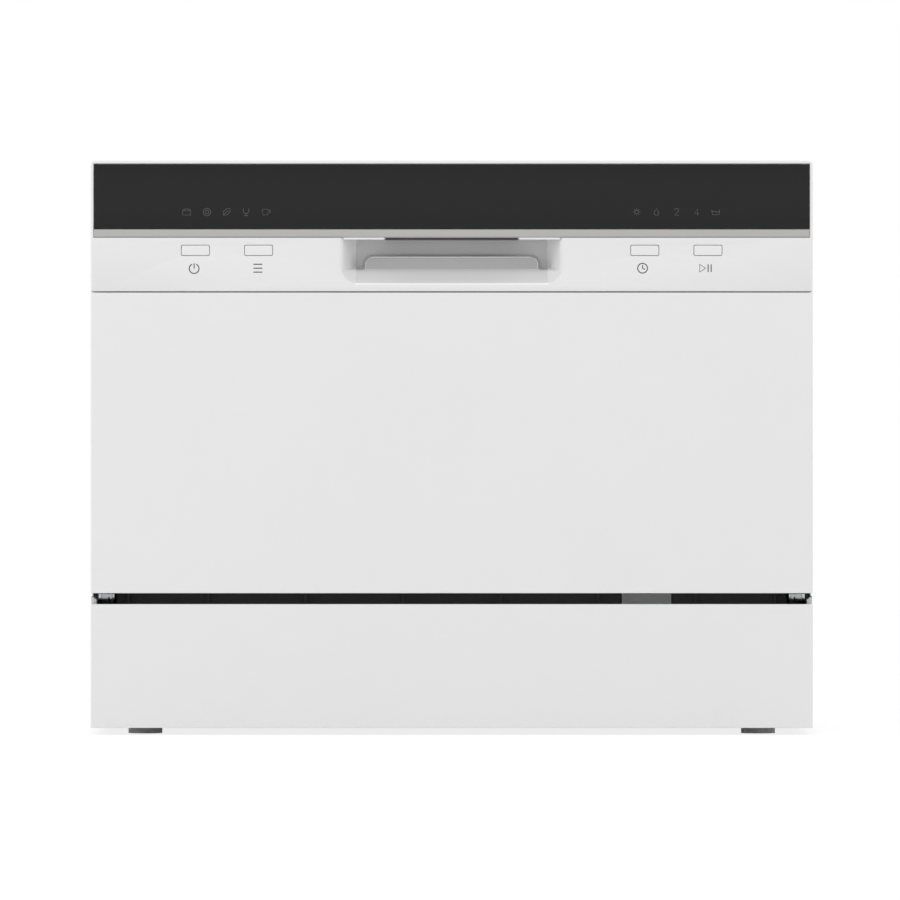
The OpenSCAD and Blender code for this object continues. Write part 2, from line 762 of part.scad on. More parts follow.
// Removable fine filter with a grip on top
module filter_cylinder() {
    top = tub_floor + gap + 1.2;
    color(plastic_grey) translate([sump_x, sump_y, 0]) difference() {
        union() {
            translate([0, 0, sump_z0 + sump_wall + 5]) cylinder(h = top - sump_z0 - sump_wall - 5, r = filter_r);
            translate([0, 0, top + gap]) cylinder(h = 2, r = filter_r + 6);
            translate([0, 0, top - 3]) cylinder(h = 4, r = filter_r + 2);
            block([-filter_r, filter_r], [-3, 3], [top, top + 6.2]);
        }
        translate([0, 0, sump_z0 + sump_wall + 7]) cylinder(h = top - sump_z0 - sump_wall - 12, r = filter_r - 2);
    }
}

// Feed tube of the spray arm, clamped through the tub's floor
module spray_hub() {
    top = tub_floor + 24;
    color(plastic_grey) {
        difference() {
            union() {
                rod_z(hub_x, hub_y, [feed_z - 14, top], feed_r);
                rod_z(hub_x, hub_y, [tub_floor + gap, tub_floor + 6], feed_r + 10);
                rod_z(hub_x, hub_y, [tub_under - 6, tub_under - gap], feed_r + 8);
                rod_x([hub_x, heater_x[0] - gap], hub_y, feed_z, feed_r - 1);
            }
            rod_z(hub_x, hub_y, [feed_z - 12, top + cut], feed_r - 2.5);
            rod_x([hub_x, heater_x[0]], hub_y, feed_z, feed_r - 3.5);
        }
        difference() {
            rod_z(hub_x, hub_y, [top - 1, top + 3], feed_r + 4);
            rod_z(hub_x, hub_y, [top - 2, top + 1], feed_r - 2.5);
        }
    }
}

module spray_arm() {
    z0 = tub_floor + 12;
    t = 9;
    color(plastic_grey) translate([hub_x, hub_y, 0]) difference() {
        union() {
            prism_z([z0, z0 + t]) {
                circle(26);
                for (a = [0, 180]) rotate(a) {
                    polygon([[0, -21], [spray_l - 13, -13], [spray_l - 13, 13], [0, 21]]);
                    translate([spray_l - 13, 0]) circle(13);
                }
            }
            translate([0, 0, tub_floor + 6 + gap]) cylinder(h = 17 - 2 * gap, r = feed_r + 5);
            for (a = [0, 180], k = [1:4])
                rotate(a) translate([k * spray_l / 5, k % 2 == 0 ? 5 : -5, z0]) cylinder(h = t + 1.4, r = 4);
        }
        translate([0, 0, tub_floor]) cylinder(h = 40, r = feed_r + gap);
    }
}

module wash_pump() {
    color(plastic_dark) difference() {
        union() {
            rod_x(volute_x, sump_y, pump_z, volute_r);
            rod_x([volute_x[1], motor_x1], sump_y, pump_z, motor_r);
            rod_y(outlet_x, [sump_y, elbow_y - gap], feed_z, hose_r);
            block([volute_x[0] + 6, motor_x1 - 6], [sump_y - 26, sump_y + 26], [base_floor + gap, pump_z]);
        }
        rod_x([volute_x[0] - cut, volute_x[0] + 20], sump_y, pump_z, pump_port_r - 2);
        rod_y(outlet_x, [sump_y + volute_r - 8, elbow_y + cut], feed_z, hose_r - 2.5);
    }
}

module drain_pump() {
    color(plastic_dark) difference() {
        union() {
            rod_x(drain_pump_x, sump_y, pump_z, drain_pump_r);
            rod_y(drain_x, [sump_y, sump_y + drain_pump_r + 12], pump_z, drain_hose_r);
            block([drain_pump_x[0] + 4, drain_pump_x[1] - 4], [sump_y - 16, sump_y + 16], [base_floor + gap, pump_z]);
        }
        rod_x([drain_pump_x[1] - 12, drain_pump_x[1] + cut], sump_y, pump_z, drain_hose_r - 2);
        rod_y(drain_x, [sump_y + drain_pump_r - 5, sump_y + drain_pump_r + 13], pump_z, drain_hose_r - 2.5);
    }
}

module heater() {
    color(steel) difference() {
        union() {
            rod_x(heater_x, hub_y, feed_z, heater_r);
            block([heater_x[0] + 15, heater_x[1] - 15], [hub_y - 9, hub_y + 9], [base_floor + gap, feed_z]);
        }
        rod_x([heater_x[0] - cut, heater_x[1] + cut], hub_y, feed_z, feed_r - 3.5);
    }
}

// Hoses inside the base: pump to heater, drain pump to bulkhead, valve to air break
module water_hoses() {
    color(hose_grey) {
        difference() {
            quarter_bend([elbow_x, elbow_y, feed_z], elbow_r, hose_r, [0, 0, 0]);
            quarter_bend([elbow_x, elbow_y, feed_z], elbow_r, hose_r - 2.5, [0, 0, 0]);
        }
        difference() {
            rod_y(drain_x, [sump_y + drain_pump_r + 12 + gap, bay_y - 4 - gap], pump_z, drain_hose_r);
            rod_y(drain_x, [sump_y, bay_y + 5], pump_z, drain_hose_r - 2.5);
        }
        rod_x([break_x + bend_r, valve_x[0] - gap], inlet_y, valve_z, inlet_hose_r);
        quarter_bend([break_x + bend_r, inlet_y, valve_z + bend_r], bend_r, inlet_hose_r, [90, 180, 0]);
        rod_z(break_x, inlet_y, [valve_z + bend_r, break_z[0] - gap], inlet_hose_r);
    }
}
// A quarter of a ring about a centre, first in the XY plane and then turned
module quarter_bend(at, bend, r, turn) {
    translate(at) rotate(turn) rotate_extrude(angle = 90) translate([bend, 0]) circle(r);
}

module inlet_valve() {
    mid = (valve_x[0] + valve_x[1]) / 2;
    color(plastic_grey) difference() {
        union() {
            block(valve_x, [bay_y - 35, bay_y - gap], [valve_z - 20, valve_z + 20]);
            rod_y(mid, [bay_y - gap - 1, rear_y - 4], valve_z, inlet_r);
            rod_y(mid, [bay_back + gap, collar_y], valve_z, inlet_r + 3);
            block([mid - 8, mid + 8], [bay_y - 30, bay_y - 14], [base_floor + gap, valve_z]);
        }
        rod_y(mid, [bay_y - 5, rear_y - 3], valve_z, inlet_r - 3.5);
    }
}

module air_break() {
    x = [break_x - break_half, break_x + break_half];
    color([0.85, 0.87, 0.88]) difference() {
        block(x, break_y, break_z);
        block([x[0] + 2, x[1] - 2], [break_y[0] + 2, break_y[1] - 2], [break_z[0] + 2, break_z[1] - 2]);
        rod_z(break_x, inlet_y, [break_z[0] - cut, break_z[0] + 3], inlet_hose_r - 3);
    }
}

module softener() {
    color(plastic_grey) difference() {
        union() {
            prism_z([base_floor + gap, soft_top]) round_rect(soft_x, soft_y, 12);
            rod_z(salt_x, salt_y, [soft_top - 1, tub_floor + 1], neck_r);
        }
        rod_z(salt_x, salt_y, [soft_top - 40, tub_floor + 2], neck_in + gap);
    }
}

module salt_cap() {
    top = tub_floor + 1 + gap;
    color(plastic_dark) translate([salt_x, salt_y, 0]) {
        translate([0, 0, top - 14]) cylinder(h = 15, r = neck_in);
        translate([0, 0, top]) cylinder(h = 3, r = neck_r + 3);
        block([-22, 22], [-2.5, 2.5], [top + 2, top + 6]);
    }
}

module cable_gland() {
    color(plastic_dark) difference() {
        union() {
            rod_y(gland_x, [bay_y - 8, rear_y - 8], gland_z, gland_r);
            rod_y(gland_x, [bay_back + gap, bay_back + 4], gland_z, gland_r + 4);
            rod_y(gland_x, [bay_y - 5, bay_y - gap], gland_z, gland_r + 4);
        }
        rod_y(gland_x, [bay_y - 9, rear_y - 7], gland_z, gland_r - 5);
    }
}

// Drain spigot in the bulkhead, at the end of the drain hose
module drain_spigot() {
    color(plastic_dark) difference() {
        union() {
            rod_y(drain_x, [bay_y - 4, rear_y - 4], pump_z, drain_r);
            rod_y(drain_x, [bay_back + gap, collar_y], pump_z, drain_r + 4);
        }
        rod_y(drain_x, [bay_y - 5, rear_y - 3], pump_z, drain_r - 2.5);
    }
}

// Axles and glides that carry the rack's rails on the tub's walls
module rail_supports() {
    color(plastic_grey) both_sides() {
        rod_x([roller_x[0] - 0.8, tub_in], roller_y, rail_z, axle_r);
        rod_x([roller_x[1] + gap, tub_in], roller_y, rail_z, roller_r - 2);
        rod_x([roller_x[0] - 1, roller_x[0] - gap], roller_y, rail_z, axle_r + 1);
        block([roller_x[0], tub_in], glide_y, [rail_z - roller_r, rail_z + roller_r]);
    }
}

module rail_roller() {
    color([0.93, 0.93, 0.93]) difference() {
        rod_x(roller_x, roller_y, rail_z, roller_r);
        rod_x([roller_x[0] - cut, roller_x[1] + cut], roller_y, rail_z, axle_r + run);
    }
}

module harness_duct() {
    y = [base_y0 - 1.5, base_y0 + 1.2];
    color([0.42, 0.42, 0.42]) {
        block(duct_x, y, [base_floor + 10, axis_z + 3]);
        for (x = duct_x) translate([x == duct_x[0] ? 0 : -2, 0, 0])
            block([x, x + 2], [y[0] - 1.5, y[1]], [base_floor + 10, axis_z + 3]);
    }
}

// A screw whose head starts at a point and looks towards +Y
module screw(at) {
    translate(at) {
        rod_y(0, [0, screw_head_h], 0, screw_head_r);
        rod_y(0, [-screw_l, 0.1], 0, screw_r);
    }
}
module cabinet_screws() {
    color(zinc) both_sides() {
        for (z = rear_screw_zs) screw([rear_screw_x, back_y, z]);
        screw([cover_screw_x, back_y, cover_screw_z]);
    }
}

// Painted door sheet below the fascia
module door_outer_panel() {
    z = [door_z0, sheet_z1];
    t = door_sheet_t;
    y1 = fascia_back;
    color(paint_white) difference() {
        union() {
            wrap_sheet(y1, z, t);
            for (e = [[z[0], z[0] + t], [z[1] - t, z[1]]])
                block([0.5 - half_w, half_w - 0.5], [front_y + 0.5, y1], e);
            both_sides() block([lip_x0, half_w - 0.5], [y1 - t, y1], [lining_z[0] + 6, z[1]]);
        }
        both_sides() {
            block(hinge_cut, [front_y + t, y1 + cut], [z[0] - cut, z[0] + t + cut]);
            for (s = sheet_screw_zs) rod_y(door_screw_x, [y1 - 5, y1 + 5], s, screw_hole_r);
        }
    }
}

// Steel door lining with a raised field, a latch slot and the dispenser's cut-out
module door_inner_panel() {
    t = lining_y[1] - lining_y[0];
    raised = lining_y[1] + emboss;
    color(steel) difference() {
        union() {
            block([-lining_x, lining_x], lining_y, lining_z);
            block([-emboss_x, emboss_x], [lining_y[0], raised], emboss_z);
            both_sides() block([side_rail_x, side_rail_x + t], [front_y + 5, lining_y[1]],
                [door_z0 + 8, sheet_z1 - 2]);
        }
        block([t - emboss_x, emboss_x - t], [lining_y[0] - cut, raised - t], [emboss_z[0] + t, emboss_z[1] - t]);
        block([disp_x[0] + 12.5, disp_x[1] - 12.5], [lining_y[0] - cut, raised + cut],
            [disp_z[0] + 6.5, disp_z[1] - 6.5]);
        block([-bolt_x - 2, bolt_x + 2], [lining_y[0] - cut, lining_y[1] + cut], [barb_z - 2.5, hook_z[1] + 7]);
        both_sides() for (z = concat(sheet_screw_zs, [fascia_screw_z]))
            rod_y(door_screw_x, [lining_y[0] - cut, lining_y[1] + cut], z, screw_hole_r);
    }
}

module door_insulation() {
    color(felt_brown)
        block([-felt_x, felt_x], felt_y, felt_z);
}

// Hinge arms inside the door, whose tails carry the springs
module hinge_arms() {
    color(zinc) both_sides() difference() {
        translate([0, axis_y, axis_z]) prism_x([arm_x0, arm_x1]) {
            circle(eye_r);
            translate([tail_y, -tail_z]) circle(eye_r);
            polygon([
                [-1, 0.8 - eye_r], [tail_y - 1, 0.8 - tail_z - eye_r], [tail_y + 3, -tail_z],
                [25, 12], [24, 150], [4, 150], [-2, 14], [0.6 - eye_r, -1]
            ]);
        }
        rod_x([arm_x0 - cut, arm_x1 + cut], axis_y, axis_z, pin_r + run);
        rod_x([arm_x0 - cut, arm_x1 + cut], spring_y, tail_hole_z, hook_hole_r);
    }
}

// Space of the handle recess, or with g its outer skin
module scoop(g) {
    half = scoop_w / 2;
    top = scoop_z1 + g;
    intersection() {
        prism_x([-half - g, half + g]) polygon([
            [front_y - 1 - g, top], [front_y - 1 - g, scoop_z0 - g], [front_y + g / 2, scoop_z0 - g],
            [ramp_y + g, ramp_z - g], [ledge_y + g, ledge_z], [ledge_y + g, top]
        ]);
        prism_z([scoop_z0 - g, top]) polygon([
            [-half - g, front_y - 1 - g], [half + g, front_y - 1 - g], [half + g, front_y],
            [half + g - scoop_lean, front_y + 12], [half + g - scoop_lean, scoop_back],
            [scoop_lean - half - g, scoop_back], [scoop_lean - half - g, front_y + 12], [-half - g, front_y]
        ]);
        prism_y([front_y - 1 - g, scoop_back]) low_round_rect([-half - g, half + g],
            [scoop_z0 - g, top], scoop_r + g);
    }
    block([-ledge_w / 2 - g, ledge_w / 2 + g], [ledge_y - 0.5, scoop_back + g], [ledge_z - g, top]);
}

module fascia_form() {
    y1 = fascia_back;
    intersection() {
        prism_z([fascia_z0, door_z1]) low_round_rect([-half_w, half_w], [front_y, y1], edge_r);
        prism_y([front_y - cut, y1 + cut])
            top_round_rect([-half_w, half_w], [fascia_z0 - cut, door_z1], 3.5);
    }
}

module control_fascia() {
    y1 = fascia_back;
    wall_x = half_w - fascia_t;
    color(plastic_white) difference() {
        union() {
            difference() {
                fascia_form();
                block([-wall_x, wall_x], [wall_y, y1 + cut], [fascia_z0 + 2.5, door_z1 - 2.5]);
            }
            intersection() {
                fascia_form();
                scoop(scoop_wall);
            }
            both_sides() {
                block([lip_x0, wall_x + 1], [y1 - 2.5, y1], [fascia_z0 + 1, door_z1 - 1]);
                block([lever_w / 2 + 0.8, lever_w / 2 + 0.8 + lug_t], [wall_y - 0.5, lever_y + 3.5],
                    [trim_z[0] + 1, lever_z + 3.5]);
                for (x = board_post_xs) rod_y(x, [wall_y - 0.5, board_y[0] - gap], board_z[1] - 8, 3);
            }
        }
        scoop(0);
        block([-insert_x, insert_x], [front_y - cut, recess_y], [trim_z[0], insert_z[1]]);
        block([-lever_w / 2 - 0.8, lever_w / 2 + 0.8], slot_y, [scoop_z1 - 1, scoop_z1 + 3]);
        for (x = button_xs)
            prism_y([front_y - cut, wall_y + cut]) round_rect(
                [x - button_w / 2 - button_gap, x + button_w / 2 + button_gap],
                [button_z - button_h / 2 - button_gap, button_z + button_h / 2 + button_gap], 1.2);
        both_sides() {
            block([lamp_x[0], lamp_x[1]], [recess_y - cut, wall_y + cut], [lamp_z - 5, lamp_z + 5]);
            rod_y(door_screw_x, [y1 - 6, y1 + cut], fascia_screw_z, screw_hole_r);
            rod_x([lever_w / 2, lever_w / 2 + lug_t + 1], lever_y, lever_z, lever_pin_r + run);
        }
    }
}

module display_insert() {
    color([0.12, 0.12, 0.12])
        block([0.2 - insert_x, insert_x - 0.2], [front_y + 0.1, recess_y - 0.1], [insert_z[0] + 0.1, insert_z[1] - 0.2]);
}

module trim_strip() {
    z = [trim_z[0] + 0.1, trim_z[1] - 0.1];
    color(champagne) prism_x([0.2 - insert_x, insert_x - 0.2]) polygon([
        [recess_y - 0.1, z[0]], [front_y + 0.5, z[0]], [front_y, z[0] + 1],
        [front_y, z[1] - 0.6], [front_y + 0.4, z[1]], [recess_y - 0.1, z[1]]
    ]);
}

// Circuit board with its key switches and lamps
module control_board() {
    wing_x = [button_in_x - 20, button_out_x + 20];
    color(board_green) difference() {
        union() {
            block([-wing_x[1], wing_x[1]], board_y, board_z);
            both_sides() {
                block(wing_x, board_y, [button_z - 12, board_z[0] + 1]);
                for (k = [0:4])
                    block([lamp_x[0] + 3 + k * 15, lamp_x[0] + 6 + k * 15], [board_y[0] - 3, board_y[0] + 0.5],
                        [lamp_z - 1.5, lamp_z + 1.5]);
            }
            for (x = button_xs)
                block([x - 3, x + 3], [board_y[0] - 2.4, board_y[0] + 0.5], [button_z - 3, button_z + 3]);
        }
        both_sides() for (x = board_post_xs) rod_y(x, [board_y[0] - cut, board_y[1] + cut], board_z[1] - 8, 1.2);
    }
}

module button(x) {
    back = wall_y + gap;
    color(plastic_white) {
        prism_y([front_y + 0.1, back + 0.5]) round_rect([x - button_w / 2, x + button_w / 2],
            [button_z - button_h / 2, button_z + button_h / 2], 1);
        block([x - button_w / 2 - 1.5, x + button_w / 2 + 1.5], [back, back + button_flange],
            [button_z - button_h / 2 - 1.5, button_z + button_h / 2 + 1.5]);
        rod_y(x, [back + button_flange - 0.2, board_y[0] - 2.4 - button_travel - gap], button_z, 1.6);
    }
}

module latch_lever() {
    half = lever_w / 2;
    top = lever_under + lever_t;
    color(plastic_dark) {
        block([-half, half], [front_y + fascia_t + 0.4, lever_back], [lever_under, top]);
        rod_x([-half, half], lever_y, lever_z, 2.6);
        block([-half, half], [lever_y - 1.6, lever_y + 1.6], [top - 0.5, lever_z]);
        rod_x([-half - 0.8 - lug_t + 0.3, half + 0.8 + lug_t - 0.3], lever_y, lever_z, lever_pin_r);
    }
}

module latch_hook() {
    x = [-bolt_x, bolt_x];
    color(zinc) {
        block(x, bolt_y, [bolt_z0, hook_z[1]]);
        block(x, [bolt_y[0], hook_y1], hook_z);
        block(x, [hook_y1 - 2.5, hook_y1], [barb_z, hook_z[0] + 1]);
    }
}

// Guide of the latch hook with the door switch beside it
module door_lock() {
    inner = bolt_x + gap;
    outer = inner + 2.5;
    y = [bolt_y[0] - 4, fascia_back];
    z = [hook_z[0] - 22, door_z1 - 6];
    color(plastic_dark) difference() {
        union() {
            block([-outer, outer], y, z);
            block([-22, 22], [y[1] - 1.5, y[1]], z);
            block([outer - 1, outer + 14], [y[0] + 1, y[1] - 5], [z[0] + 8, z[0] + 22]);
        }
        block([-inner, inner], [bolt_y[0] - gap, y[1] + cut], [z[0] - cut, z[1] - 2]);
    }
}

module dispenser_body() {
    neck_x = [disp_x[0] + 13, disp_x[1] - 13];
    neck_z = [disp_z[0] + 7, disp_z[1] - 7];
    deep = front_y + 10;
    shell = 2.2;
    color([0.8, 0.81, 0.82]) difference() {
        union() {
            prism_y(disp_face) round_rect(disp_x, disp_z, 8);
            difference() {
                block(neck_x, [deep, disp_face[0] + 1], neck_z);
                block([neck_x[0] + shell, neck_x[1] - shell], [deep + shell, disp_face[0]],
                    [neck_z[0] + shell, neck_z[1] - shell]);
            }
            prism_y([deep, disp_face[1]]) round_rect([well_x[0] - shell, well_x[1] + shell],
                [well_z[0] - shell, well_z[1] + shell], 6 + shell);
            rod_y(cap_x, [disp_face[1] - 15, disp_face[1]], cap_z, cap_plug_r + gap + shell);
            for (z = [[lid_z[0] - 3, lid_z[0] - gap], [lid_z[1] + gap, lid_z[1] + 3]])
                block([disp_x[0] + 4, disp_x[1] - 4], [disp_face[0] + 1, disp_face[1] + 4], z);
        }
        prism_y([deep + 3, disp_face[1] + cut]) round_rect(well_x, well_z, 6);
        rod_y(cap_x, [disp_face[1] - 14, disp_face[1] + cut], cap_z, cap_plug_r + gap);
    }
}

module detergent_lid() {
    y = [disp_face[1] + gap, disp_face[1] + gap + lid_t];
    color([0.7, 0.72, 0.75]) {
        block(lid_x, y, lid_z);
        for (k = [0:3]) block([lid_x[0] + 8 + k * 4, lid_x[0] + 10 + k * 4], [y[1] - 0.5, y[1] + 0.8],
            [lid_z[0] + 12, lid_z[1] - 12]);
    }
}

module rinse_aid_cap() {
    y0 = disp_face[1] + gap;
    color([0.25, 0.35, 0.55]) {
        rod_y(cap_x, [y0, y0 + 2.6], cap_z, cap_r);
        rod_y(cap_x, [y0 - 12, y0 + 1], cap_z, cap_plug_r);
        block([cap_x - 1.8, cap_x + 1.8], [y0 + 2, y0 + 4], [cap_z - 11, cap_z + 11]);
    }
}

module door_screws() {
    color(zinc) both_sides() for (z = concat(sheet_screw_zs, [fascia_screw_z]))
        screw([door_screw_x, door_back, z]);
}

// Coated wire rack, made of flat welded grids. Wires that cross in one grid lie
// a weld apart, and wires of two grids lie beside each other, a join apart.
module dish_rack() {
    rack_floor();
    rack_front();
    rack_rear();
    both_sides() rack_side();
    color(rack_grey) {
        rod_y(shelf_x, [shelf_y[0] - 3, shelf_y[1] + 3], shelf_z, rod_r);
        for (y = shelf_y) rod_x([-rack_half - 1, shelf_x], y, shelf_z, rod_r - 0.3);
    }
}
module rack_floor() {
    color(rack_grey) {
        for (y = cross_ys) rod_x([-rack_half - 1, rack_half + 1], y, cross_z, wire_thin);
        for (x = wire_xs) rod_y(x, [foot_front - 1, rack_back + 1], rack_z, wire_thin);
    }
}
module rack_side() {
    rim_in = wire_rim + gap;
    mid_in = wire_thin + gap;
    color(rack_grey) {
        rod_y(rack_half, [rim_front + rim_in, rack_back - rim_in], rim_z, wire_rim - 0.1);
        rod_y(rack_half - weld, [mid_front, rack_back - mid_in], mid_z - join, wire_thin);
        for (y = cross_ys) rod_z(rack_half, y + join, [cross_z - 1, rim_z], wire_thin);
    }
}
module rack_rear() {
    side_x = rack_half - weld;
    color(rack_grey) {
        rod_x([-rack_half - wire_rim, rack_half + wire_rim], rack_back, rim_z, wire_rim);
        rod_x([1 - side_x, side_x - 1], rack_back - weld, mid_z, wire_thin);
        for (x = wire_xs) rod_z(x + join, rack_back, [rack_z - 1, rim_z], wire_thin);
    }
}
module rack_front() {
    side_x = rack_half - weld;
    color(rack_grey) {
        rod_x([-rack_half - wire_rim, rack_half + wire_rim], rim_front, rim_z, wire_rim);
        rod_x([1 - side_x, side_x - 1], mid_front + weld, mid_z, wire_thin);
        for (x = wire_xs) wire_yz(x + join, [foot_front, rack_z - 1], [rim_front, rim_z], wire_thin);
    }
}

// Two rows of plate tines on the rack's floor
module plate_tines() {
    color(rack_grey) for (y = tine_ys) {
        rod_x([tine_xs[0] - 3, tine_xs[tine_n] + 3], y, tine_base_z, tine_r);
        for (x = tine_xs) rod_z(x, y + 2 * tine_r - 0.6, [tine_base_z - 1, rack_z + tine_h], tine_r);
    }
}

// Channels that run over the rollers and glides on the tub's walls
module rack_rails() {
    inner = roller_r + gap;
    color(plastic_grey) both_sides() difference() {
        block([rail_x, rail_out], rail_y, [rail_z - inner - rail_t, rail_z + inner + rail_t]);
        block([rail_x + rail_t, rail_out + cut], [rail_y[0] - cut, rail_y[1] + cut], [rail_z - inner, rail_z + inner]);
    }
}

module cup_shelf() {
    x = [shelf_x + 5, shelf_x + 5 + shelf_w];
    y = [shelf_y[0] + 8, shelf_y[1] - 8];
    z = [shelf_z - shelf_t / 2, shelf_z + shelf_t / 2];
    n = 7;
    step = (y[1] - y[0] - 6) / n;
    color(plastic_grey) difference() {
        union() {
            block(x, y, z);
            for (k = [y[0] + 10, y[1] - 30]) {
                rod_y(shelf_x, [k, k + 20], shelf_z, knuckle_r);
                block([shelf_x, x[0] + 1], [k, k + 20], z);
            }
        }
        for (k = [0:n - 1])
            block([x[0] + 6, x[1] - 6], [y[0] + 6 + k * step, y[0] + k * step + step], [z[0] - cut, z[1] + cut]);
        rod_y(shelf_x, [y[0], y[1]], shelf_z, rod_r + gap);
    }
}

module cutlery_basket() {
    mid = (basket_x[0] + basket_x[1]) / 2;
    z1 = basket_z + basket_h;
    n = 9;
    step = (basket_l - 2 * basket_t) / n;
    mid_y = (basket_y[0] + basket_y[1]) / 2;
    color(plastic_grey) difference() {
        union() {
            difference() {
                block(basket_x, basket_y, [basket_z, z1]);
                block([basket_x[0] + basket_t, basket_x[1] - basket_t],
                    [basket_y[0] + basket_t, basket_y[1] - basket_t], [basket_z + basket_t, z1 + cut]);
            }
            block([basket_x[0] + 1, basket_x[1] - 1], [mid_y - basket_t / 2, mid_y + basket_t / 2], [basket_z, z1]);
            for (s = [-1, 1])
                block([mid + s * 24 - 4, mid + s * 24 + 4], [mid_y - basket_t, mid_y + basket_t],
                    [z1 - 20, z1 + handle_h]);
            block([mid - 28, mid + 28], [mid_y - basket_t - 1, mid_y + basket_t + 1],
                [z1 + handle_h - 8, z1 + handle_h]);
        }
        for (k = [0:n - 1])
            block([basket_x[0] - cut, basket_x[1] + cut],
                [basket_y[0] + basket_t + k * step + 6, basket_y[0] + basket_t + (k + 1) * step - 6],
                [basket_z + 12, z1 - 12]);
    }
}

module leak_float() {
    color([0.9, 0.9, 0.88]) {
        rod_z(float_x, float_y, [base_floor + gap, base_floor + 10], float_r);
        rod_z(float_x, float_y, [base_floor + 9, base_floor + 38], 3);
    }
}

base_tray();
rubber_feet();
kick_panel();
mirror([1, 0, 0]) side_panel();  // side_panel_left
side_panel();  // side_panel_right
rear_panel();
top_cover();
tub();
tub_front_frame();
tub_gasket();
hinge_brackets();
hinge_pins();
door_springs();
door_strike();
sump();
flat_filter();
spray_hub();
wash_pump();
drain_pump();
heater();
inlet_valve();
air_break();
softener();
water_hoses();
drain_spigot();
cable_gland();
rail_supports();
harness_duct();
cabinet_screws();
door_outer_panel();
door_inner_panel();
door_insulation();
control_fascia();
display_insert();
trim_strip();
hinge_arms();
control_board();
door_lock();
dispenser_body();
door_screws();
latch_lever();
latch_hook();
button(button_xs[0]);  // power_button
button(button_xs[1]);  // program_button
button(button_xs[2]);  // delay_button
button(button_xs[3]);  // start_button
detergent_lid();
rinse_aid_cap();
dish_rack();
plate_tines();
rack_rails();
cup_shelf();
cutlery_basket();
spray_arm();
filter_cylinder();
salt_cap();
leak_float();
mirror([1, 0, 0]) rail_roller();  // rail_roller_left
rail_roller();  // rail_roller_right
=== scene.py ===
import json
import math

import bmesh
import bpy
from mathutils import Matrix, Vector


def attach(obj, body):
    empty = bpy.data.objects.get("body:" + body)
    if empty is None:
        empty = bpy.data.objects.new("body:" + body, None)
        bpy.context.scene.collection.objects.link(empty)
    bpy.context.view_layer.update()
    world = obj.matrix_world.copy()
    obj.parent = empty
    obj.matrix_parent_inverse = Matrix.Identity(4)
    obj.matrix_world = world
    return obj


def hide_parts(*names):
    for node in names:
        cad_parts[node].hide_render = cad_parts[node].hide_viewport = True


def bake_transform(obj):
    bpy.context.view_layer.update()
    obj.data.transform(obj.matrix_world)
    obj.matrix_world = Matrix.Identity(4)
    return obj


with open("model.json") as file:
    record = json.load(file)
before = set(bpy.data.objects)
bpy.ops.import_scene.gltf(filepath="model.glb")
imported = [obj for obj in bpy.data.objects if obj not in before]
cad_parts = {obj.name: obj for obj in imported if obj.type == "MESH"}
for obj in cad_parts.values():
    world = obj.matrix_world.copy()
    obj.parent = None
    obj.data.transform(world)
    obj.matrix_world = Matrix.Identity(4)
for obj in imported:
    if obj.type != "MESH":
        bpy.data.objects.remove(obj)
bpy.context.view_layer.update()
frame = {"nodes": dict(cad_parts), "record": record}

MM = 0.001
nodes = frame["nodes"]

# Main planes of the front, in millimetres
FRONT = -250.0
HALF_W = 275.0
FASCIA_Z = (337.8, 437.5)
FASCIA_BACK = -217.3
# Dark insert with the depth of its recess, and the trim strip under it
INSERT_X = 272.8
INSERT_Z = (385.2, 435.2)
RECESS_D = 1.6
TRIM_Z = (378.8, 385.2)
# Handle recess with the radius of its lower corners
SCOOP_HALF = 84.0
SCOOP_Z = (344.1, 378.8)
SCOOP_R = 13.0
# Depths in the handle recess: at its rim, on the raised pad of its rear wall, and at most
RIM_D = 1.2
PAD_D = 15.0
MAX_D = 23.6
# Raised pad with the radius of its upper corners
PAD_HALF = 67.0
PAD_TOP = 365.4
PAD_R = 7.0
# Slot of the latch lever in the ceiling of the handle recess
LEVER_HALF = 51.05
LEVER_D = 19.3
# Lips beside that slot, from their inner to their outer end
SLOT_LIP_X = (51.3, 82.5)
SLOT_LIP_Z = (377.3, 378.9)
# Buttons with the gap around them, the rim of their flange and the radius of their stem
BUTTON_Z = 369.1
BUTTON_XS = (-195.1, -147.0, 147.0, 195.1)
BUTTON_W, BUTTON_H = 21.1, 7.6
BUTTON_GAP = 0.4
BUTTON_RIM = 1.5
STEM_R = 1.6

# Painted shade on the rear wall of the handle recess, and a painted highlight along its lower lip
RECESS_SHADE_HALF = 73.0
LIP_HIGHLIGHT_HALF = 73.5
LIP_HIGHLIGHT_Z = 343.72
LIP_HIGHLIGHT_BAND = 0.6
# Painted shade: factor on the fascia's colour by the depth behind its front, in millimetres
RECESS_SHADE_TONES = ((0.0, 1.0), (2.5, 0.92), (10.5, 0.9), (13.4, 0.8), (14.45, 0.76), (14.65, 0.51),
                (16.5, 0.51), (20.0, 0.71), (24.9, 0.71))
RECESS_SHADE_DEPTH = 25.0


# Materials

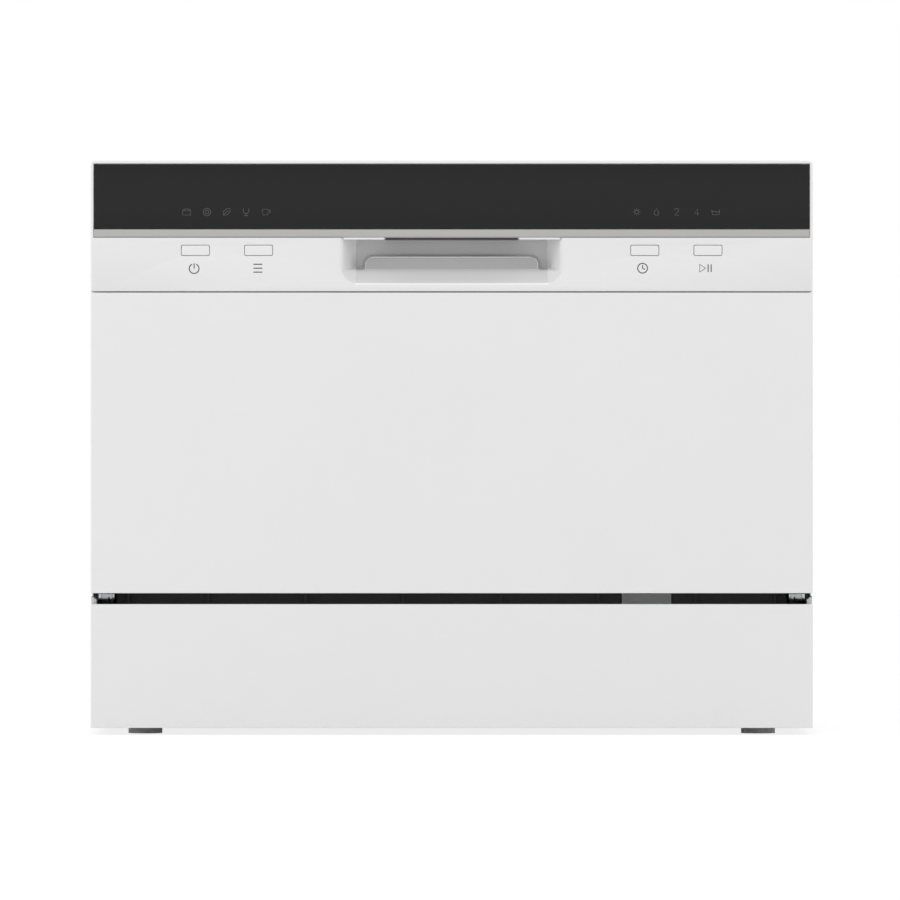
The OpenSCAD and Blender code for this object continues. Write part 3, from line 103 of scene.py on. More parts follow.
def shader(name, rgb, rough, metal=0.0, vary=0.03, vary_scale=9.0, grain=900.0, bump=0.02,
           rough_vary=0.05, stretch=(1, 1, 1), edge=0.0, specular=0.5, aniso=0.0):
    """A node material: slow colour drift, fine grain in bump and roughness, and softened edges."""
    m = bpy.data.materials.new(name)
    m.use_nodes = True
    t = m.node_tree
    p = t.nodes["Principled BSDF"]
    link = t.links.new

    def add(kind, **values):
        n = t.nodes.new("ShaderNode" + kind)
        for k, v in values.items():
            n.inputs[k.replace("_", " ")].default_value = v
        return n

    coord = add("TexCoord")
    coord.name = "Texture Coordinate"
    mapping = add("Mapping", Scale=stretch)
    link(coord.outputs["Object"], mapping.inputs["Vector"])
    drift = add("TexNoise", Scale=vary_scale, Detail=3.0, Roughness=0.6)
    link(coord.outputs["Object"], drift.inputs["Vector"])
    ramp = t.nodes.new("ShaderNodeValToRGB")
    ramp.color_ramp.elements[0].position = 0.3
    ramp.color_ramp.elements[1].position = 0.7
    ramp.color_ramp.elements[0].color = [c * (1 - vary) for c in rgb] + [1]
    ramp.color_ramp.elements[1].color = [min(1, c * (1 + vary)) for c in rgb] + [1]
    link(drift.outputs["Fac"], ramp.inputs["Fac"])
    link(ramp.outputs["Color"], p.inputs["Base Color"])
    fine = add("TexNoise", Scale=grain, Detail=4.0, Roughness=0.55)
    link(mapping.outputs["Vector"], fine.inputs["Vector"])
    span = add("MapRange", To_Min=max(0.02, rough - rough_vary), To_Max=rough + rough_vary)
    link(fine.outputs["Fac"], span.inputs["Value"])
    link(span.outputs["Result"], p.inputs["Roughness"])
    b = add("Bump", Strength=bump * 10, Distance=0.0002)
    link(fine.outputs["Fac"], b.inputs["Height"])
    if edge:
        soft = t.nodes.new("ShaderNodeBevel")
        soft.samples = 6
        soft.inputs["Radius"].default_value = edge * MM
        link(soft.outputs["Normal"], b.inputs["Normal"])
    link(b.outputs["Normal"], p.inputs["Normal"])
    p.inputs["Metallic"].default_value = metal
    p.inputs["Specular IOR Level"].default_value = specular
    p.inputs["Anisotropic"].default_value = aniso
    return m


def grey(v):
    """Linear value of an sRGB level from 0 to 255."""
    c = v / 255
    return ((c + 0.055) / 1.055) ** 2.4 if c > 0.04045 else c / 12.92


def srgb(r, g, b):
    return (grey(r), grey(g), grey(b))


MATERIALS = {
    "paint_white": shader("white_paint", srgb(229, 229, 229), 0.34, vary=0.006, grain=700,
                          bump=0.02, edge=0.5),
    "fascia_white": shader("white_fascia_painted_recess_shade", srgb(229, 229, 229), 0.38, vary=0.006, grain=1500, bump=0.015),
    "cover_white": shader("white_cover", srgb(230, 230, 229), 0.42, vary=0.008, grain=1100,
                          bump=0.05, edge=0.6),
    "insert_black": shader("dark_glass_look", srgb(27, 27, 28), 0.17, vary=0.02, grain=1800,
                           bump=0.003, rough_vary=0.02, specular=0.2),
    "trim_champagne": shader("champagne_metal", srgb(176, 175, 172), 0.4, metal=0.85, vary=0.01,
                             grain=260, bump=0.01, stretch=(1, 40, 40), aniso=0.4),
    "button_white": shader("button_gloss", srgb(229, 229, 229), 0.26, vary=0.004, grain=1500, bump=0.006),
    "base_black": shader("black_moulding", srgb(66, 66, 67), 0.5, vary=0.06, grain=1300, bump=0.08,
                         edge=0.4),
    "duct_grey": shader("grey_duct", srgb(224, 224, 225), 0.5, vary=0.04, grain=1300, bump=0.05, edge=0.3),
    "stainless": shader("brushed_stainless", srgb(190, 191, 193), 0.3, metal=1.0, vary=0.02,
                        grain=320, bump=0.015, stretch=(2, 60, 60), edge=0.5, aniso=0.5),
    "zinc": shader("zinc_plate", srgb(164, 166, 169), 0.38, metal=1.0, vary=0.06, vary_scale=120,
                   grain=900, bump=0.03, edge=0.3),
    "seal_rubber": shader("seal_rubber", srgb(44, 44, 45), 0.62, vary=0.08, grain=1500, bump=0.08,
                          edge=0.8),
    "foot_rubber": shader("foot_rubber", srgb(222, 222, 221), 0.7, vary=0.04, grain=1300,
                          bump=0.08, edge=0.8),
    "plastic_grey": shader("grey_moulding", srgb(140, 143, 147), 0.42, vary=0.03, grain=1300,
                           bump=0.04, edge=0.4),
    "rack_coat": shader("nylon_coat", srgb(150, 156, 165), 0.4, vary=0.03, grain=1600, bump=0.04),
    "roller_white": shader("acetal", srgb(232, 232, 230), 0.3, vary=0.01, grain=1500, bump=0.02, edge=0.3),
    "cap_blue": shader("blue_cap", srgb(58, 92, 142), 0.3, vary=0.03, grain=1500, bump=0.02, edge=0.4),
    "dispenser_grey": shader("pale_grey_moulding", srgb(196, 198, 200), 0.36, vary=0.02,
                             grain=1500, bump=0.03, edge=0.4),
    "felt": shader("bitumen_felt", srgb(70, 62, 54), 0.9, vary=0.2, vary_scale=160, grain=1800, bump=0.5),
    "board_green": shader("circuit_board", srgb(28, 92, 52), 0.35, vary=0.15, vary_scale=220,
                          grain=600, bump=0.1),
    "hose_grey": shader("hose_rubber", srgb(92, 94, 97), 0.6, vary=0.06, grain=1200, bump=0.08),
    "clear_plastic": shader("milky_plastic", srgb(214, 218, 221), 0.3, vary=0.03, grain=900,
                            bump=0.02, edge=0.5),
    "float_foam": shader("white_foam", srgb(226, 226, 220), 0.85, vary=0.05, vary_scale=200,
                         grain=1600, bump=0.4),
    "ink_grey": shader("print_ink", srgb(84, 84, 85), 0.6, vary=0.05, vary_scale=400, grain=1500,
                       bump=0.02),
    "ink_faint": shader("print_faint", srgb(80, 80, 81), 0.35, vary=0.05, vary_scale=400,
                        grain=1500, bump=0.01),
}


def shade_recess(m):
    """Painted shade in the handle recess, darker by depth behind the front, and a painted highlight along
    its lower lip.
    """
    t = m.node_tree
    base = t.nodes["Principled BSDF"].inputs["Base Color"]
    colour = base.links[0].from_socket
    axes = t.nodes.new("ShaderNodeSeparateXYZ")
    t.links.new(t.nodes["Texture Coordinate"].outputs["Object"], axes.inputs[0])

    def maths(kind, a, b=0.0, c=0.0):
        n = t.nodes.new("ShaderNodeMath")
        n.operation = kind
        for socket, v in zip(n.inputs, (a, b, c)):
            if isinstance(v, float):
                socket.default_value = v
            else:
                t.links.new(v, socket)
        return n.outputs[0]

    def multiply(colour_in, factor):
        n = t.nodes.new("ShaderNodeVectorMath")
        n.operation = "SCALE"
        t.links.new(colour_in, n.inputs[0])
        t.links.new(factor, n.inputs["Scale"])
        return n.outputs["Vector"]

    x = maths("ABSOLUTE", axes.outputs["X"])
    # The share of the painted shade's depth range that a point lies behind the front
    depth = maths("MULTIPLY_ADD", axes.outputs["Y"], 1000 / RECESS_SHADE_DEPTH, -FRONT / RECESS_SHADE_DEPTH)
    shade_tones = t.nodes.new("ShaderNodeValToRGB")
    while len(shade_tones.color_ramp.elements) < len(RECESS_SHADE_TONES):
        shade_tones.color_ramp.elements.new(0.5)
    for e, (at, v) in zip(shade_tones.color_ramp.elements, RECESS_SHADE_TONES):
        e.position = at / RECESS_SHADE_DEPTH
        e.color = (v, v, v, 1)
    t.links.new(depth, shade_tones.inputs["Fac"])
    low = maths("LESS_THAN", axes.outputs["Z"], (SCOOP_Z[1] - 0.3) * MM)
    within = maths("MULTIPLY", maths("LESS_THAN", x, RECESS_SHADE_HALF * MM), low)
    # Painted shade: inside the recess's outline the colour is darkened by the depth factor
    loss = maths("SUBTRACT", 1.0, shade_tones.outputs["Color"])
    dark = maths("SUBTRACT", 1.0, maths("MULTIPLY", within, loss))
    # Painted highlight: a band along the lower lip, lightened by a fifth
    height = maths("COMPARE", axes.outputs["Z"], LIP_HIGHLIGHT_Z * MM, LIP_HIGHLIGHT_BAND * MM)
    band = maths("MULTIPLY", height, maths("LESS_THAN", x, LIP_HIGHLIGHT_HALF * MM))
    light = maths("MULTIPLY_ADD", band, 0.2, 1.0)
    t.links.new(multiply(multiply(colour, dark), light), base)


# Painted shade deeper in the handle recess and a painted highlight on its lower lip, laid over the
# fascia's white
shade_recess(MATERIALS["fascia_white"])

slots = {s["node"]: s["material_slot"] for s in frame["record"]["subparts"]}
for name, obj in nodes.items():
    obj.data.materials.clear()
    obj.data.materials.append(MATERIALS[slots[name]])


# Mesh helpers. Sizes are in millimetres, loops run in the XZ plane.

def new_piece(name, bm, body, slot_name, replaces=(), smooth_angle=35.0):
    """Turn a bmesh into a piece that rides a body and takes the place of CAD nodes."""
    bmesh.ops.recalc_face_normals(bm, faces=bm.faces)
    mesh = bpy.data.meshes.new(name)
    bm.to_mesh(mesh)
    bm.free()
    mesh.transform(Matrix.Scale(MM, 4))
    obj = bpy.data.objects.new(name, mesh)
    bpy.context.scene.collection.objects.link(obj)
    mesh.materials.append(MATERIALS[slot_name])
    for f in mesh.polygons:
        f.use_smooth = True
    mesh.set_sharp_from_angle(angle=math.radians(smooth_angle))
    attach(obj, body)
    if replaces:
        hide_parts(*replaces)


def arc(cx, cz, r, a0, a1, n, nx=1.0, nz=1.0):
    """Points (x, z, outward x, outward z) on an arc; nx and nz scale how far the bevel reaches."""
    out = []
    for k in range(n + 1):
        a = math.radians(a0 + (a1 - a0) * k / n)
        out.append((cx + r * math.cos(a), cz + r * math.sin(a), math.cos(a) * nx, math.sin(a) * nz))
    return out


def rounded(x0, x1, z0, z1, r, n=6):
    """Closed loop of a rounded rectangle with outward directions."""
    return (arc(x1 - r, z1 - r, r, 0, 90, n) + arc(x0 + r, z1 - r, r, 90, 180, n)
            + arc(x0 + r, z0 + r, r, 180, 270, n) + arc(x1 - r, z0 + r, r, 270, 360, n))


def ring(bm, loop, off, y):
    """Vertices of a loop at depth y, moved outward by off."""
    return [bm.verts.new((x + nx * off, y, z + nz * off)) for x, z, nx, nz in loop]


def bridge(bm, a, b):
    """Faces between two rings of as many vertices."""
    n = len(a)
    for i in range(n):
        j = (i + 1) % n
        bm.faces.new((a[i], a[j], b[j], b[i]))


def fill(bm, rings, y_dir=-1):
    """Flat face between an outer ring and the rings of its holes."""
    edges = []
    for r in rings:
        for i in range(len(r)):
            a, b = r[i], r[(i + 1) % len(r)]
            e = bm.edges.get((a, b)) or bm.edges.new((a, b))
            edges.append(e)
    bmesh.ops.triangle_fill(bm, use_beauty=True, use_dissolve=False, edges=edges, normal=(0, y_dir, 0))


def edge_rings(bm, loop, sign, radius, y, y_end, steps=4):
    """Rounded edge from the front face at y back to y_end. Returns the front ring and the back ring."""
    first, last = None, None
    for k in range(steps + 1):
        a = math.pi / 2 * k / steps
        r = ring(bm, loop, sign * radius * (1 - math.sin(a)), y + radius * (1 - math.cos(a)))
        if last:
            bridge(bm, last, r)
        first = first or r
        last = r
    if y_end > y + radius:
        r = ring(bm, loop, 0, y_end)
        bridge(bm, last, r)
        last = r
    return first, last


def slab(name, loop, y0, y1, radius, body, slot_name, replaces=()):
    """A plate with a rounded front edge and a flat back."""
    bm = bmesh.new()
    front, back = edge_rings(bm, loop, -1, radius, y0, y1)
    fill(bm, [front])
    fill(bm, [back], 1)
    new_piece(name, bm, body, slot_name, replaces)


# Depth of the handle recess

def smooth(t):
    """Soft step from 0 to 1."""
    t = max(0.0, min(1.0, t))
    return t * t * (3 - 2 * t)


def inside(x, z):
    """Distance of a point inside the recess's outline, open at the top."""
    ax = abs(x)
    cx, cz = SCOOP_HALF - SCOOP_R, SCOOP_Z[0] + SCOOP_R
    if ax > cx and z < cz:
        return SCOOP_R - math.hypot(ax - cx, z - cz)
    return min(SCOOP_HALF - ax, z - SCOOP_Z[0])


def pad_distance(x, z):
    """Distance inside the raised pad on the rear wall of the recess."""
    ax = abs(x)
    cx, cz = PAD_HALF - PAD_R, PAD_TOP - PAD_R
    if ax > cx and z > cz:
        return PAD_R - math.hypot(ax - cx, z - cz)
    return min(PAD_HALF - ax, PAD_TOP - z)


def recess_depth(x, z):
    """Depth behind the front: curved sides, a ramp at the bottom, and a rear wall with a raised pad."""
    # Widths over which the sides, the ramp and the step around the pad fall back
    side_run, ramp_run, step_run = 12.5, 11.2, 2.2
    side = RIM_D + 22.5 * smooth((SCOOP_HALF - abs(x)) / side_run) ** 0.8
    ramp = RIM_D + 13.2 * min(1.0, max(0.0, inside(x, z)) / ramp_run) ** 0.92
    pad = pad_distance(x, z)
    deep = PAD_D + 8.5 * smooth(-pad / step_run + 0.5)
    ridge = -0.9 * math.exp(-((pad - 0.9) / 0.8) ** 2)
    # 0 on the ramp, 1 on the rear wall
    share = smooth((z - SCOOP_Z[0] - 9.5) / 3.4)
    wall = PAD_D * (1 - share) + (deep + ridge) * share
    base = ramp * (1 - share) + wall * share
    return max(RIM_D, min(side, base, MAX_D))


def fascia():
    """Shell of the fascia with the insert's recess, the handle recess and the button holes."""
    bm = bmesh.new()
    z0, z1 = FASCIA_Z
    r = 3.5
    side, under, near = 0.6, 0.25, 2.0
    outer = (arc(HALF_W - r, z1 - r, r, 0, 90, 6, side, side)
             + arc(-HALF_W + r, z1 - r, r, 90, 180, 6, side, side)
             + [(-HALF_W, z0 + near, -side, 0), (-HALF_W, z0, -side, -under),
                (-HALF_W + near, z0, 0, -under), (HALF_W - near, z0, 0, -under),
                (HALF_W, z0, side, -under), (HALF_W, z0 + near, side, 0)])
    edge_r, wall = 1.5, 6.0
    front, back = edge_rings(bm, outer, -1, edge_r, FRONT, FASCIA_BACK)
    bridge(bm, back, ring(bm, outer, -wall, FASCIA_BACK))
    # The opening of the insert and the recess below it, as one outline
    s, tight = 0.9, 0.2
    low, high = TRIM_Z[0], INSERT_Z[1]
    opening = (arc(-SCOOP_HALF + SCOOP_R, SCOOP_Z[0] + SCOOP_R, SCOOP_R, 180, 270, 12, s, s)
               + arc(SCOOP_HALF - SCOOP_R, SCOOP_Z[0] + SCOOP_R, SCOOP_R, 270, 360, 12, s, s)
               + [(SCOOP_HALF, low, s, -tight), (INSERT_X, low, tight, -tight),
                  (INSERT_X, high, tight, tight), (-INSERT_X, high, -tight, tight),
                  (-INSERT_X, low, -tight, -tight), (-SCOOP_HALF, low, -s, -tight)])
    holes = [edge_rings(bm, opening, 1, 1.0, FRONT, FRONT + 2.4)]
    for x in BUTTON_XS:
        loop = rounded(x - BUTTON_W / 2 - BUTTON_GAP, x + BUTTON_W / 2 + BUTTON_GAP,
                       BUTTON_Z - BUTTON_H / 2 - BUTTON_GAP, BUTTON_Z + BUTTON_H / 2 + BUTTON_GAP, 1.3)
        holes.append(edge_rings(bm, loop, 1, 0.25, FRONT, FRONT + 3.0, 3))
    fill(bm, [front] + [h[0] for h in holes])
    # Floor of the insert's recess
    y = FRONT + RECESS_D
    corners = [(-INSERT_X, low), (INSERT_X, low), (INSERT_X, high), (-INSERT_X, high)]
    bm.faces.new([bm.verts.new((x, y, z)) for x, z in corners])
    # The handle recess as a fine grid that runs a little under the front plate
    cols, rows = 260, 62
    over = 0.6
    xs = [-SCOOP_HALF - over + (2 * SCOOP_HALF + 2 * over) * i / cols for i in range(cols + 1)]
    zs = [SCOOP_Z[0] - over + (SCOOP_Z[1] + over - SCOOP_Z[0]) * k / rows for k in range(rows + 1)]
    grid = [[bm.verts.new((x, FRONT + recess_depth(x, z), z)) for x in xs] for z in zs]
    for k in range(rows):
        for i in range(cols):
            if max(inside(x, z) for x in xs[i:i + 2] for z in zs[k:k + 2]) > -2 * over:
                bm.faces.new((grid[k][i], grid[k][i + 1], grid[k + 1][i + 1], grid[k + 1][i]))
    # Ceiling of the recess, with the slot of the latch lever left open
    for i in range(cols):
        x0, x1 = xs[i], xs[i + 1]
        y_front = FRONT + (LEVER_D if max(abs(x0), abs(x1)) < LEVER_HALF else 1.0)
        a, b = grid[rows][i], grid[rows][i + 1]
        if min(a.co.y, b.co.y) <= y_front:
            continue
        c = bm.verts.new((x1, y_front, SCOOP_Z[1]))
        d = bm.verts.new((x0, y_front, SCOOP_Z[1]))
        bm.faces.new((a, b, c, d))
    for v in [v for v in bm.verts if not v.link_faces]:
        bm.verts.remove(v)
    new_piece("fascia_shell", bm, "door", "fascia_white", ["control_fascia"], 40)


fascia()

# Lip of the recess under the trim strip, on both sides of the lever
for side in (-1, 1):
    x0, x1 = sorted(side * x for x in SLOT_LIP_X)
    slab("recess_lip_" + ("left" if side < 0 else "right"), rounded(x0, x1, *SLOT_LIP_Z, 0.4, 3),
         FRONT + 0.5, FRONT + 5.0, 0.35, "door", "fascia_white")

INSERT_EDGE = INSERT_X - 0.35
slab("insert_panel", rounded(-INSERT_EDGE, INSERT_EDGE, INSERT_Z[0] + 0.15, INSERT_Z[1] - 0.45, 0.5, 3),
     FRONT + 0.15, FRONT + RECESS_D, 0.3, "door", "insert_black", ["display_insert"])


def trim():
    """Trim strip with a bright upper bevel and a darker lower one."""
    bm = bmesh.new()
    z0, z1 = TRIM_Z
    profile = [(FRONT + 1.5, z0 + 0.1), (FRONT + 0.8, z0 + 0.1), (FRONT + 0.35, z0 + 0.45),
               (FRONT, z0 + 1.05), (FRONT, z1 - 0.6), (FRONT + 0.1, z1 - 0.3),
               (FRONT + 0.4, z1 - 0.12), (FRONT + 1.5, z1 - 0.1)]
    gap, parts = 0.3, 12
    xs = [-INSERT_X + gap + (2 * INSERT_X - 2 * gap) * k / parts for k in range(parts + 1)]
    rows = [[bm.verts.new((x, y, z)) for y, z in profile] for x in xs]
    for a, b in zip(rows, rows[1:]):
        for i in range(len(profile) - 1):
            bm.faces.new((a[i], a[i + 1], b[i + 1], b[i]))
    bm.faces.new(rows[0])
    bm.faces.new(rows[-1])
    new_piece("trim_band", bm, "door", "trim_champagne", ["trim_strip"], 25)


trim()

# Button caps, crowned a little, with their flange and stem behind
button_bodies = ("power_button", "program_button", "delay_button", "start_button")
for x, body in zip(BUTTON_XS, button_bodies):
    bm = bmesh.new()
    half_w, half_h = BUTTON_W / 2, BUTTON_H / 2
    loop = rounded(x - half_w, x + half_w, BUTTON_Z - half_h, BUTTON_Z + half_h, 1.0)
    front, back = edge_rings(bm, loop, -1, 0.45, FRONT + 0.1, FRONT + 3.4)
    crown = [bm.verts.new((x + (v.co.x - x) * 0.8, FRONT + 0.03, BUTTON_Z + (v.co.z - BUTTON_Z) * 0.7))
             for v in front]
    bridge(bm, crown, front)
    fill(bm, [crown])
    rim_w, rim_h = half_w + BUTTON_RIM, half_h + BUTTON_RIM
    flange = rounded(x - rim_w, x + rim_w, BUTTON_Z - rim_h, BUTTON_Z + rim_h, 1.2)
    ring_a, ring_b = edge_rings(bm, flange, -1, 0.2, FRONT + 3.3, FRONT + 4.5, 2)
    fill(bm, [ring_a])
    fill(bm, [ring_b], 1)
    stem = [(x + STEM_R * math.cos(a), BUTTON_Z + STEM_R * math.sin(a), math.cos(a), math.sin(a))
            for a in [2 * math.pi * k / 24 for k in range(24)]]
    ring_a = ring(bm, stem, 0, FRONT + 4.3)
    ring_b = ring(bm, stem, 0, FRONT + 5.1)
    bridge(bm, ring_a, ring_b)
    fill(bm, [ring_b], 1)
    new_piece(body + "_cap", bm, body, "button_white", [body], 50)


def wire_mesh(name, paths, radius, resolution, capped):
    """Mesh of round wires along paths of (x, y, z); a closed path repeats its first point."""
    curve = bpy.data.curves.new(name, "CURVE")
    curve.dimensions = "3D"
    curve.bevel_depth = radius
    curve.bevel_resolution = resolution
    curve.use_fill_caps = capped
    for path in paths:
        closed = path[0] == path[-1] and len(path) > 2
        pts = path[:-1] if closed else path
        s = curve.splines.new("POLY")
        s.points.add(len(pts) - 1)
        for p, place in zip(s.points, pts):
            p.co = (*place, 1)
        s.use_cyclic_u = closed
    holder = bpy.data.objects.new(name + "_curve", curve)
    bpy.context.scene.collection.objects.link(holder)
    bpy.context.view_layer.update()
    mesh = bpy.data.meshes.new_from_object(holder.evaluated_get(bpy.context.evaluated_depsgraph_get()))
    bpy.data.objects.remove(holder)
    mesh.name = name
    for f in mesh.polygons:
        f.use_smooth = True
    return mesh


# Printed symbols, as thin raised lines

def print_lines(name, paths, width, y, ink):
    """Flattened lines on the plane at depth y. Paths are lists of (x, z) in millimetres."""
    mesh = wire_mesh(name, [[(x, 0, z) for x, z in path] for path in paths], width / 2, 2, True)
    flat = 0.12
    mesh.transform(Matrix.Translation((0, y * MM, 0)) @ Matrix.Diagonal((MM, MM * flat, MM, 1)))
    obj = bpy.data.objects.new(name, mesh)
    bpy.context.scene.collection.objects.link(obj)
    mesh.materials.clear()
    mesh.materials.append(MATERIALS[ink])
    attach(obj, "door")


def circle(cx, cz, r, a0=0.0, a1=360.0, n=28):
    """Path along a circle or a part of it, from a0 to a1 in degrees."""
    pts = [(cx + r * math.cos(math.radians(a0 + (a1 - a0) * k / n)),
            cz + r * math.sin(math.radians(a0 + (a1 - a0) * k / n))) for k in range(n + 1)]
    if a1 - a0 == 360:
        pts[-1] = pts[0]
    return pts


def moved(paths, x, z, s=1.0):
    """Paths scaled by s and set down around (x, z)."""
    return [[(x + s * px, z + s * pz) for px, pz in p] for p in paths]


SYMBOL_Z = 355.5
power = [circle(0, -0.3, 3.7, 115, 425, 24), [(0, 3.6), (0, -0.2)]]
plate_rows = [[(-3.4, -3.0), (3.4, -3.0)], [(-3.4, 0.0), (3.4, 0.0)], [(-3.4, 3.0), (3.4, 3.0)]]
clock = [circle(0, 0, 3.7), [(0, 2.3), (0, 0), (1.9, -0.9)]]
play = [[(-4.4, -2.9), (-4.4, 2.9), (0.1, 0), (-4.4, -2.9)],
        [(2.0, -2.9), (2.0, 2.9)], [(4.3, -2.9), (4.3, 2.9)]]
for name, paths, x in (("mark_power", power, -196.1), ("mark_program", plate_rows, -147.6),
                       ("mark_delay", clock, 145.3), ("mark_start", play, 193.2)):
    print_lines(name, moved(paths, x, SYMBOL_Z), 0.85, FRONT - 0.01, "ink_grey")

ICON_Z = 398.3
pot = [[(-3.2, 1), (-3.2, -2.4), (3.2, -2.4), (3.2, 1), (-3.2, 1)],
       [(-3.4, 1.4), (-1, 2.4), (1, 2.4), (3.4, 1.4)]]
dish = [circle(0, 0, 3.0, n=20), circle(0, 0, 1.5, n=14)]
leaf = [[(-2.8, -2.6), (-2.4, 0.8), (0.2, 2.6), (3.0, 2.8), (2.6, 0), (0.8, -2.2), (-2.8, -2.6)],
        [(-2.8, -2.6), (1.2, 1.0)]]
wine = [circle(0, 1.0, 2.2, 180, 360, 12), [(-2.2, 1), (-2.2, 2.8)], [(2.2, 1), (2.2, 2.8)],
        [(0, -1.2), (0, -2.9)], [(-1.5, -2.9), (1.5, -2.9)]]
cup = [[(-2.6, 2.2), (-2.2, -2.4), (1.6, -2.4), (2.0, 2.2), (-2.6, 2.2)],
       circle(2.6, 0.4, 1.2, -90, 90, 8)]
sun = [circle(0, 0, 1.5, n=14)]
for k in range(8):
    a = k * math.pi / 4
    sun.append([(r * math.cos(a), r * math.sin(a)) for r in (2.2, 3.1)])
drop = [[(0, 3.0), (1.9, -0.3), (1.6, -1.9), (0, -2.7), (-1.6, -1.9), (-1.9, -0.3), (0, 3.0)]]
two = [[(-1.6, 1.7), (-0.9, 2.7), (0.7, 2.7), (1.5, 1.7), (1.2, 0.5), (-1.6, -2.6), (1.7, -2.6)]]
four = [[(0.8, -2.7), (0.8, 2.7), (-1.9, -1.0), (1.9, -1.0)]]
basin = [[(-3.2, 1.8), (-2.6, -2.2), (2.6, -2.2), (3.2, 1.8)],
         [(-2.9, 0.2), (-1.2, 0.8), (0.6, -0.2), (2.9, 0.5)]]
icon_xs = ((-201.8, pot), (-186.4, dish), (-171.4, leaf), (-156.6, wine), (-141.6, cup),
           (140.8, sun), (155.9, drop), (171.3, two), (186.4, four), (201.0, basin))
icons = sum((moved(p, x, ICON_Z, 0.95) for x, p in icon_xs), [])
print_lines("insert_icons", icons, 0.42, FRONT + 0.13, "ink_faint")


# Door springs as real coils between the base and the hinge arms, in metres
SPRING_X, SPRING_Y = 0.2595, -0.2225
SPRING_Z = (0.0280, 0.0887)
COIL_R = 0.0036
HOOK_R = 0.004
WIRE_R = 0.0008
TURNS, PER_TURN = 34, 20
for side in (-1, 1):
    name = "door_spring_" + ("left" if side < 0 else "right")
    cx, cy = side * SPRING_X, SPRING_Y
    z0, z1 = SPRING_Z
    pts = [(cx, cy, z0 - 2 * HOOK_R)]
    for k in range(1, 14):
        a = math.radians(-80 + 320 * k / 13)
        pts.append((cx + HOOK_R * math.cos(a), cy, z0 - HOOK_R + HOOK_R * math.sin(a)))
    for k in range(TURNS * PER_TURN + 1):
        a = 2 * math.pi * k / PER_TURN
        rise = z0 + (z1 - z0) * k / (TURNS * PER_TURN)
        pts.append((cx + COIL_R * math.cos(a), cy + COIL_R * math.sin(a), rise))
    for k in range(14):
        a = math.radians(-60 + 320 * k / 13)
        pts.append((cx + HOOK_R * math.cos(a), cy, z1 + HOOK_R + HOOK_R * math.sin(a)))
    mesh = wire_mesh(name + "_coil", [pts], WIRE_R, 4, False)
    mesh.materials.clear()
    mesh.materials.append(MATERIALS["zinc"])
    obj = bpy.data.objects.new(name + "_coil", mesh)
    bpy.context.scene.collection.objects.link(obj)
    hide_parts("door_springs")
    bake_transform(obj)


# Stage, lights and camera

def direct_view(tree):
    """1 for camera, glossy and transmission rays, else 0."""
    light_path = tree.nodes.new("ShaderNodeLightPath")
    last = light_path.outputs["Is Camera Ray"]
    for kind in ("Is Glossy Ray", "Is Transmission Ray"):
        top = tree.nodes.new("ShaderNodeMath")
        top.operation = "MAXIMUM"
        tree.links.new(last, top.inputs[0])
        tree.links.new(light_path.outputs[kind], top.inputs[1])
        last = top.outputs[0]
    return last


floor_mesh = bpy.data.meshes.new("floor")
far = 6.0
floor_corners = [(-far, -far, 0), (far, -far, 0), (far, far, 0), (-far, far, 0)]
floor_mesh.from_pydata(floor_corners, [], [(0, 1, 2, 3)])
floor = bpy.data.objects.new("floor", floor_mesh)
bpy.context.scene.collection.objects.link(floor)
floor_mat = bpy.data.materials.new("floor_pale")
floor_mat.use_nodes = True
ft = floor_mat.node_tree
floor_mesh.materials.append(floor_mat)
paint = ft.nodes["Principled BSDF"]
paint.inputs["Base Color"].default_value = (0.86, 0.86, 0.86, 1)
paint.inputs["Roughness"].default_value = 0.9
paint.inputs["Specular IOR Level"].default_value = 0.1
glow = ft.nodes.new("ShaderNodeEmission")
glow.inputs["Strength"].default_value = 1.1
blend = ft.nodes.new("ShaderNodeMixShader")
share = ft.nodes.new("ShaderNodeMath")
share.operation = "MULTIPLY"
share.inputs[1].default_value = 0.75
ft.links.new(glow.outputs[0], blend.inputs[2])
ft.links.new(paint.outputs[0], blend.inputs[1])
ft.links.new(share.outputs[0], blend.inputs["Fac"])
ft.links.new(blend.outputs[0], ft.nodes["Material Output"].inputs["Surface"])
ft.links.new(direct_view(ft), share.inputs[0])

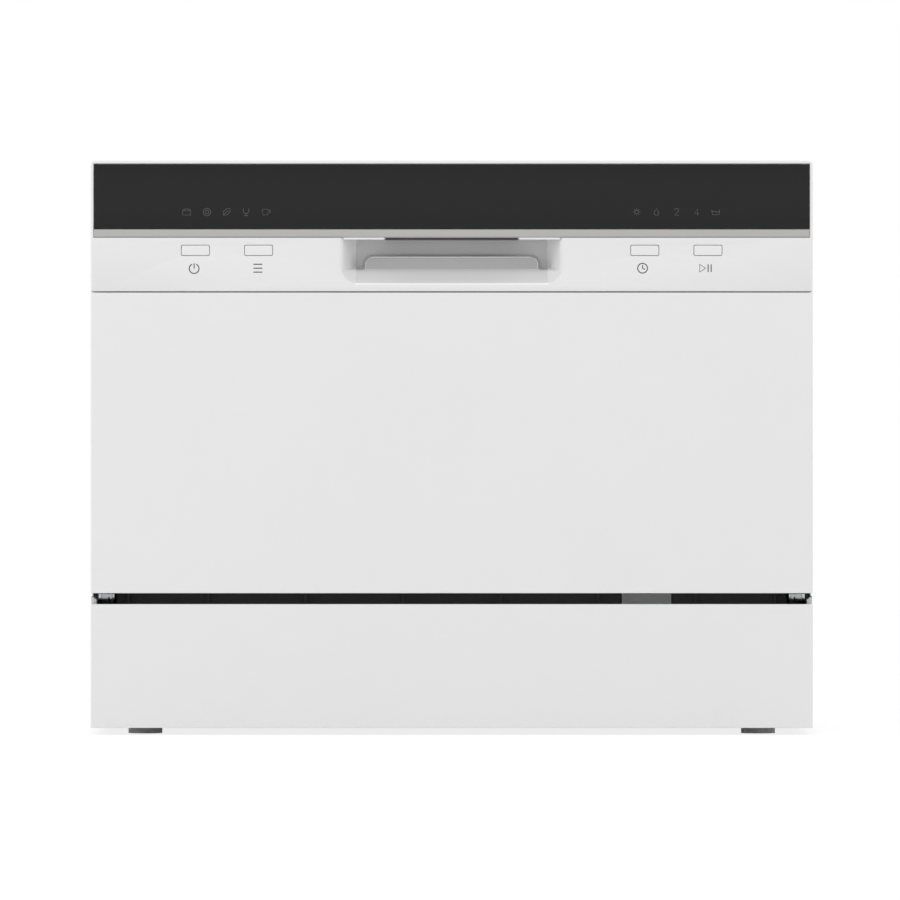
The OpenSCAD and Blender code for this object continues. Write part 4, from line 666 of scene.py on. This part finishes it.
world = bpy.data.worlds.new("studio")
bpy.context.scene.world = world
world.use_nodes = True
wt = world.node_tree
wt.nodes.clear()
out = wt.nodes.new("ShaderNodeOutputWorld")
light_bg = wt.nodes.new("ShaderNodeBackground")
light_bg.inputs["Color"].default_value = (1, 1, 1, 1)
light_bg.inputs["Strength"].default_value = 0.80
white_bg = wt.nodes.new("ShaderNodeBackground")
white_bg.inputs["Color"].default_value = (1, 1, 1, 1)
white_bg.inputs["Strength"].default_value = 1.0
mix = wt.nodes.new("ShaderNodeMixShader")
wt.links.new(direct_view(wt), mix.inputs["Fac"])
wt.links.new(light_bg.outputs[0], mix.inputs[1])
wt.links.new(white_bg.outputs[0], mix.inputs[2])
wt.links.new(mix.outputs[0], out.inputs["Surface"])


def area_light(name, place, target, width, height, power):
    """A rectangular light that points from its place to a target."""
    data = bpy.data.lights.new(name, "AREA")
    data.shape = "RECTANGLE"
    data.size, data.size_y = width, height
    data.energy = power
    obj = bpy.data.objects.new(name, data)
    obj.location = place
    obj.rotation_mode = "QUATERNION"
    obj.rotation_quaternion = (Vector(target) - Vector(place)).to_track_quat("-Z", "Y")
    bpy.context.scene.collection.objects.link(obj)


area_light("key", (-0.7, -2.1, 2.6), (0, 0, 0.2), 1.8, 1.4, 14)
area_light("left", (-2.2, -0.9, 0.6), (0, 0, 0.2), 1.0, 1.2, 7)
area_light("right", (2.2, -0.9, 0.6), (0, 0, 0.2), 1.0, 1.2, 6)
area_light("top", (0.0, 0.2, 2.6), (0, 0, 0.2), 1.8, 1.8, 5)
area_light("low", (0.0, -3.0, 0.5), (0, 0, 0.15), 2.2, 0.8, 1)

# The long lens shows the front plane at VIEW_W metres across the picture
LENS, SENSOR = 400, 36
VIEW_W = 0.6852
camera_data = bpy.data.cameras.new("camera")
camera_data.lens = LENS
camera_data.sensor_width = SENSOR
camera_data.clip_end = 60
camera = bpy.data.objects.new("camera", camera_data)
bpy.context.scene.collection.objects.link(camera)
camera.location = (-0.0013, FRONT * MM - VIEW_W * LENS / SENSOR, 0.2171)
camera.rotation_euler = (math.radians(90), 0, 0)
bpy.context.scene.camera = camera
bpy.context.scene.view_settings.view_transform = "Standard"

bpy.context.view_layer.update()
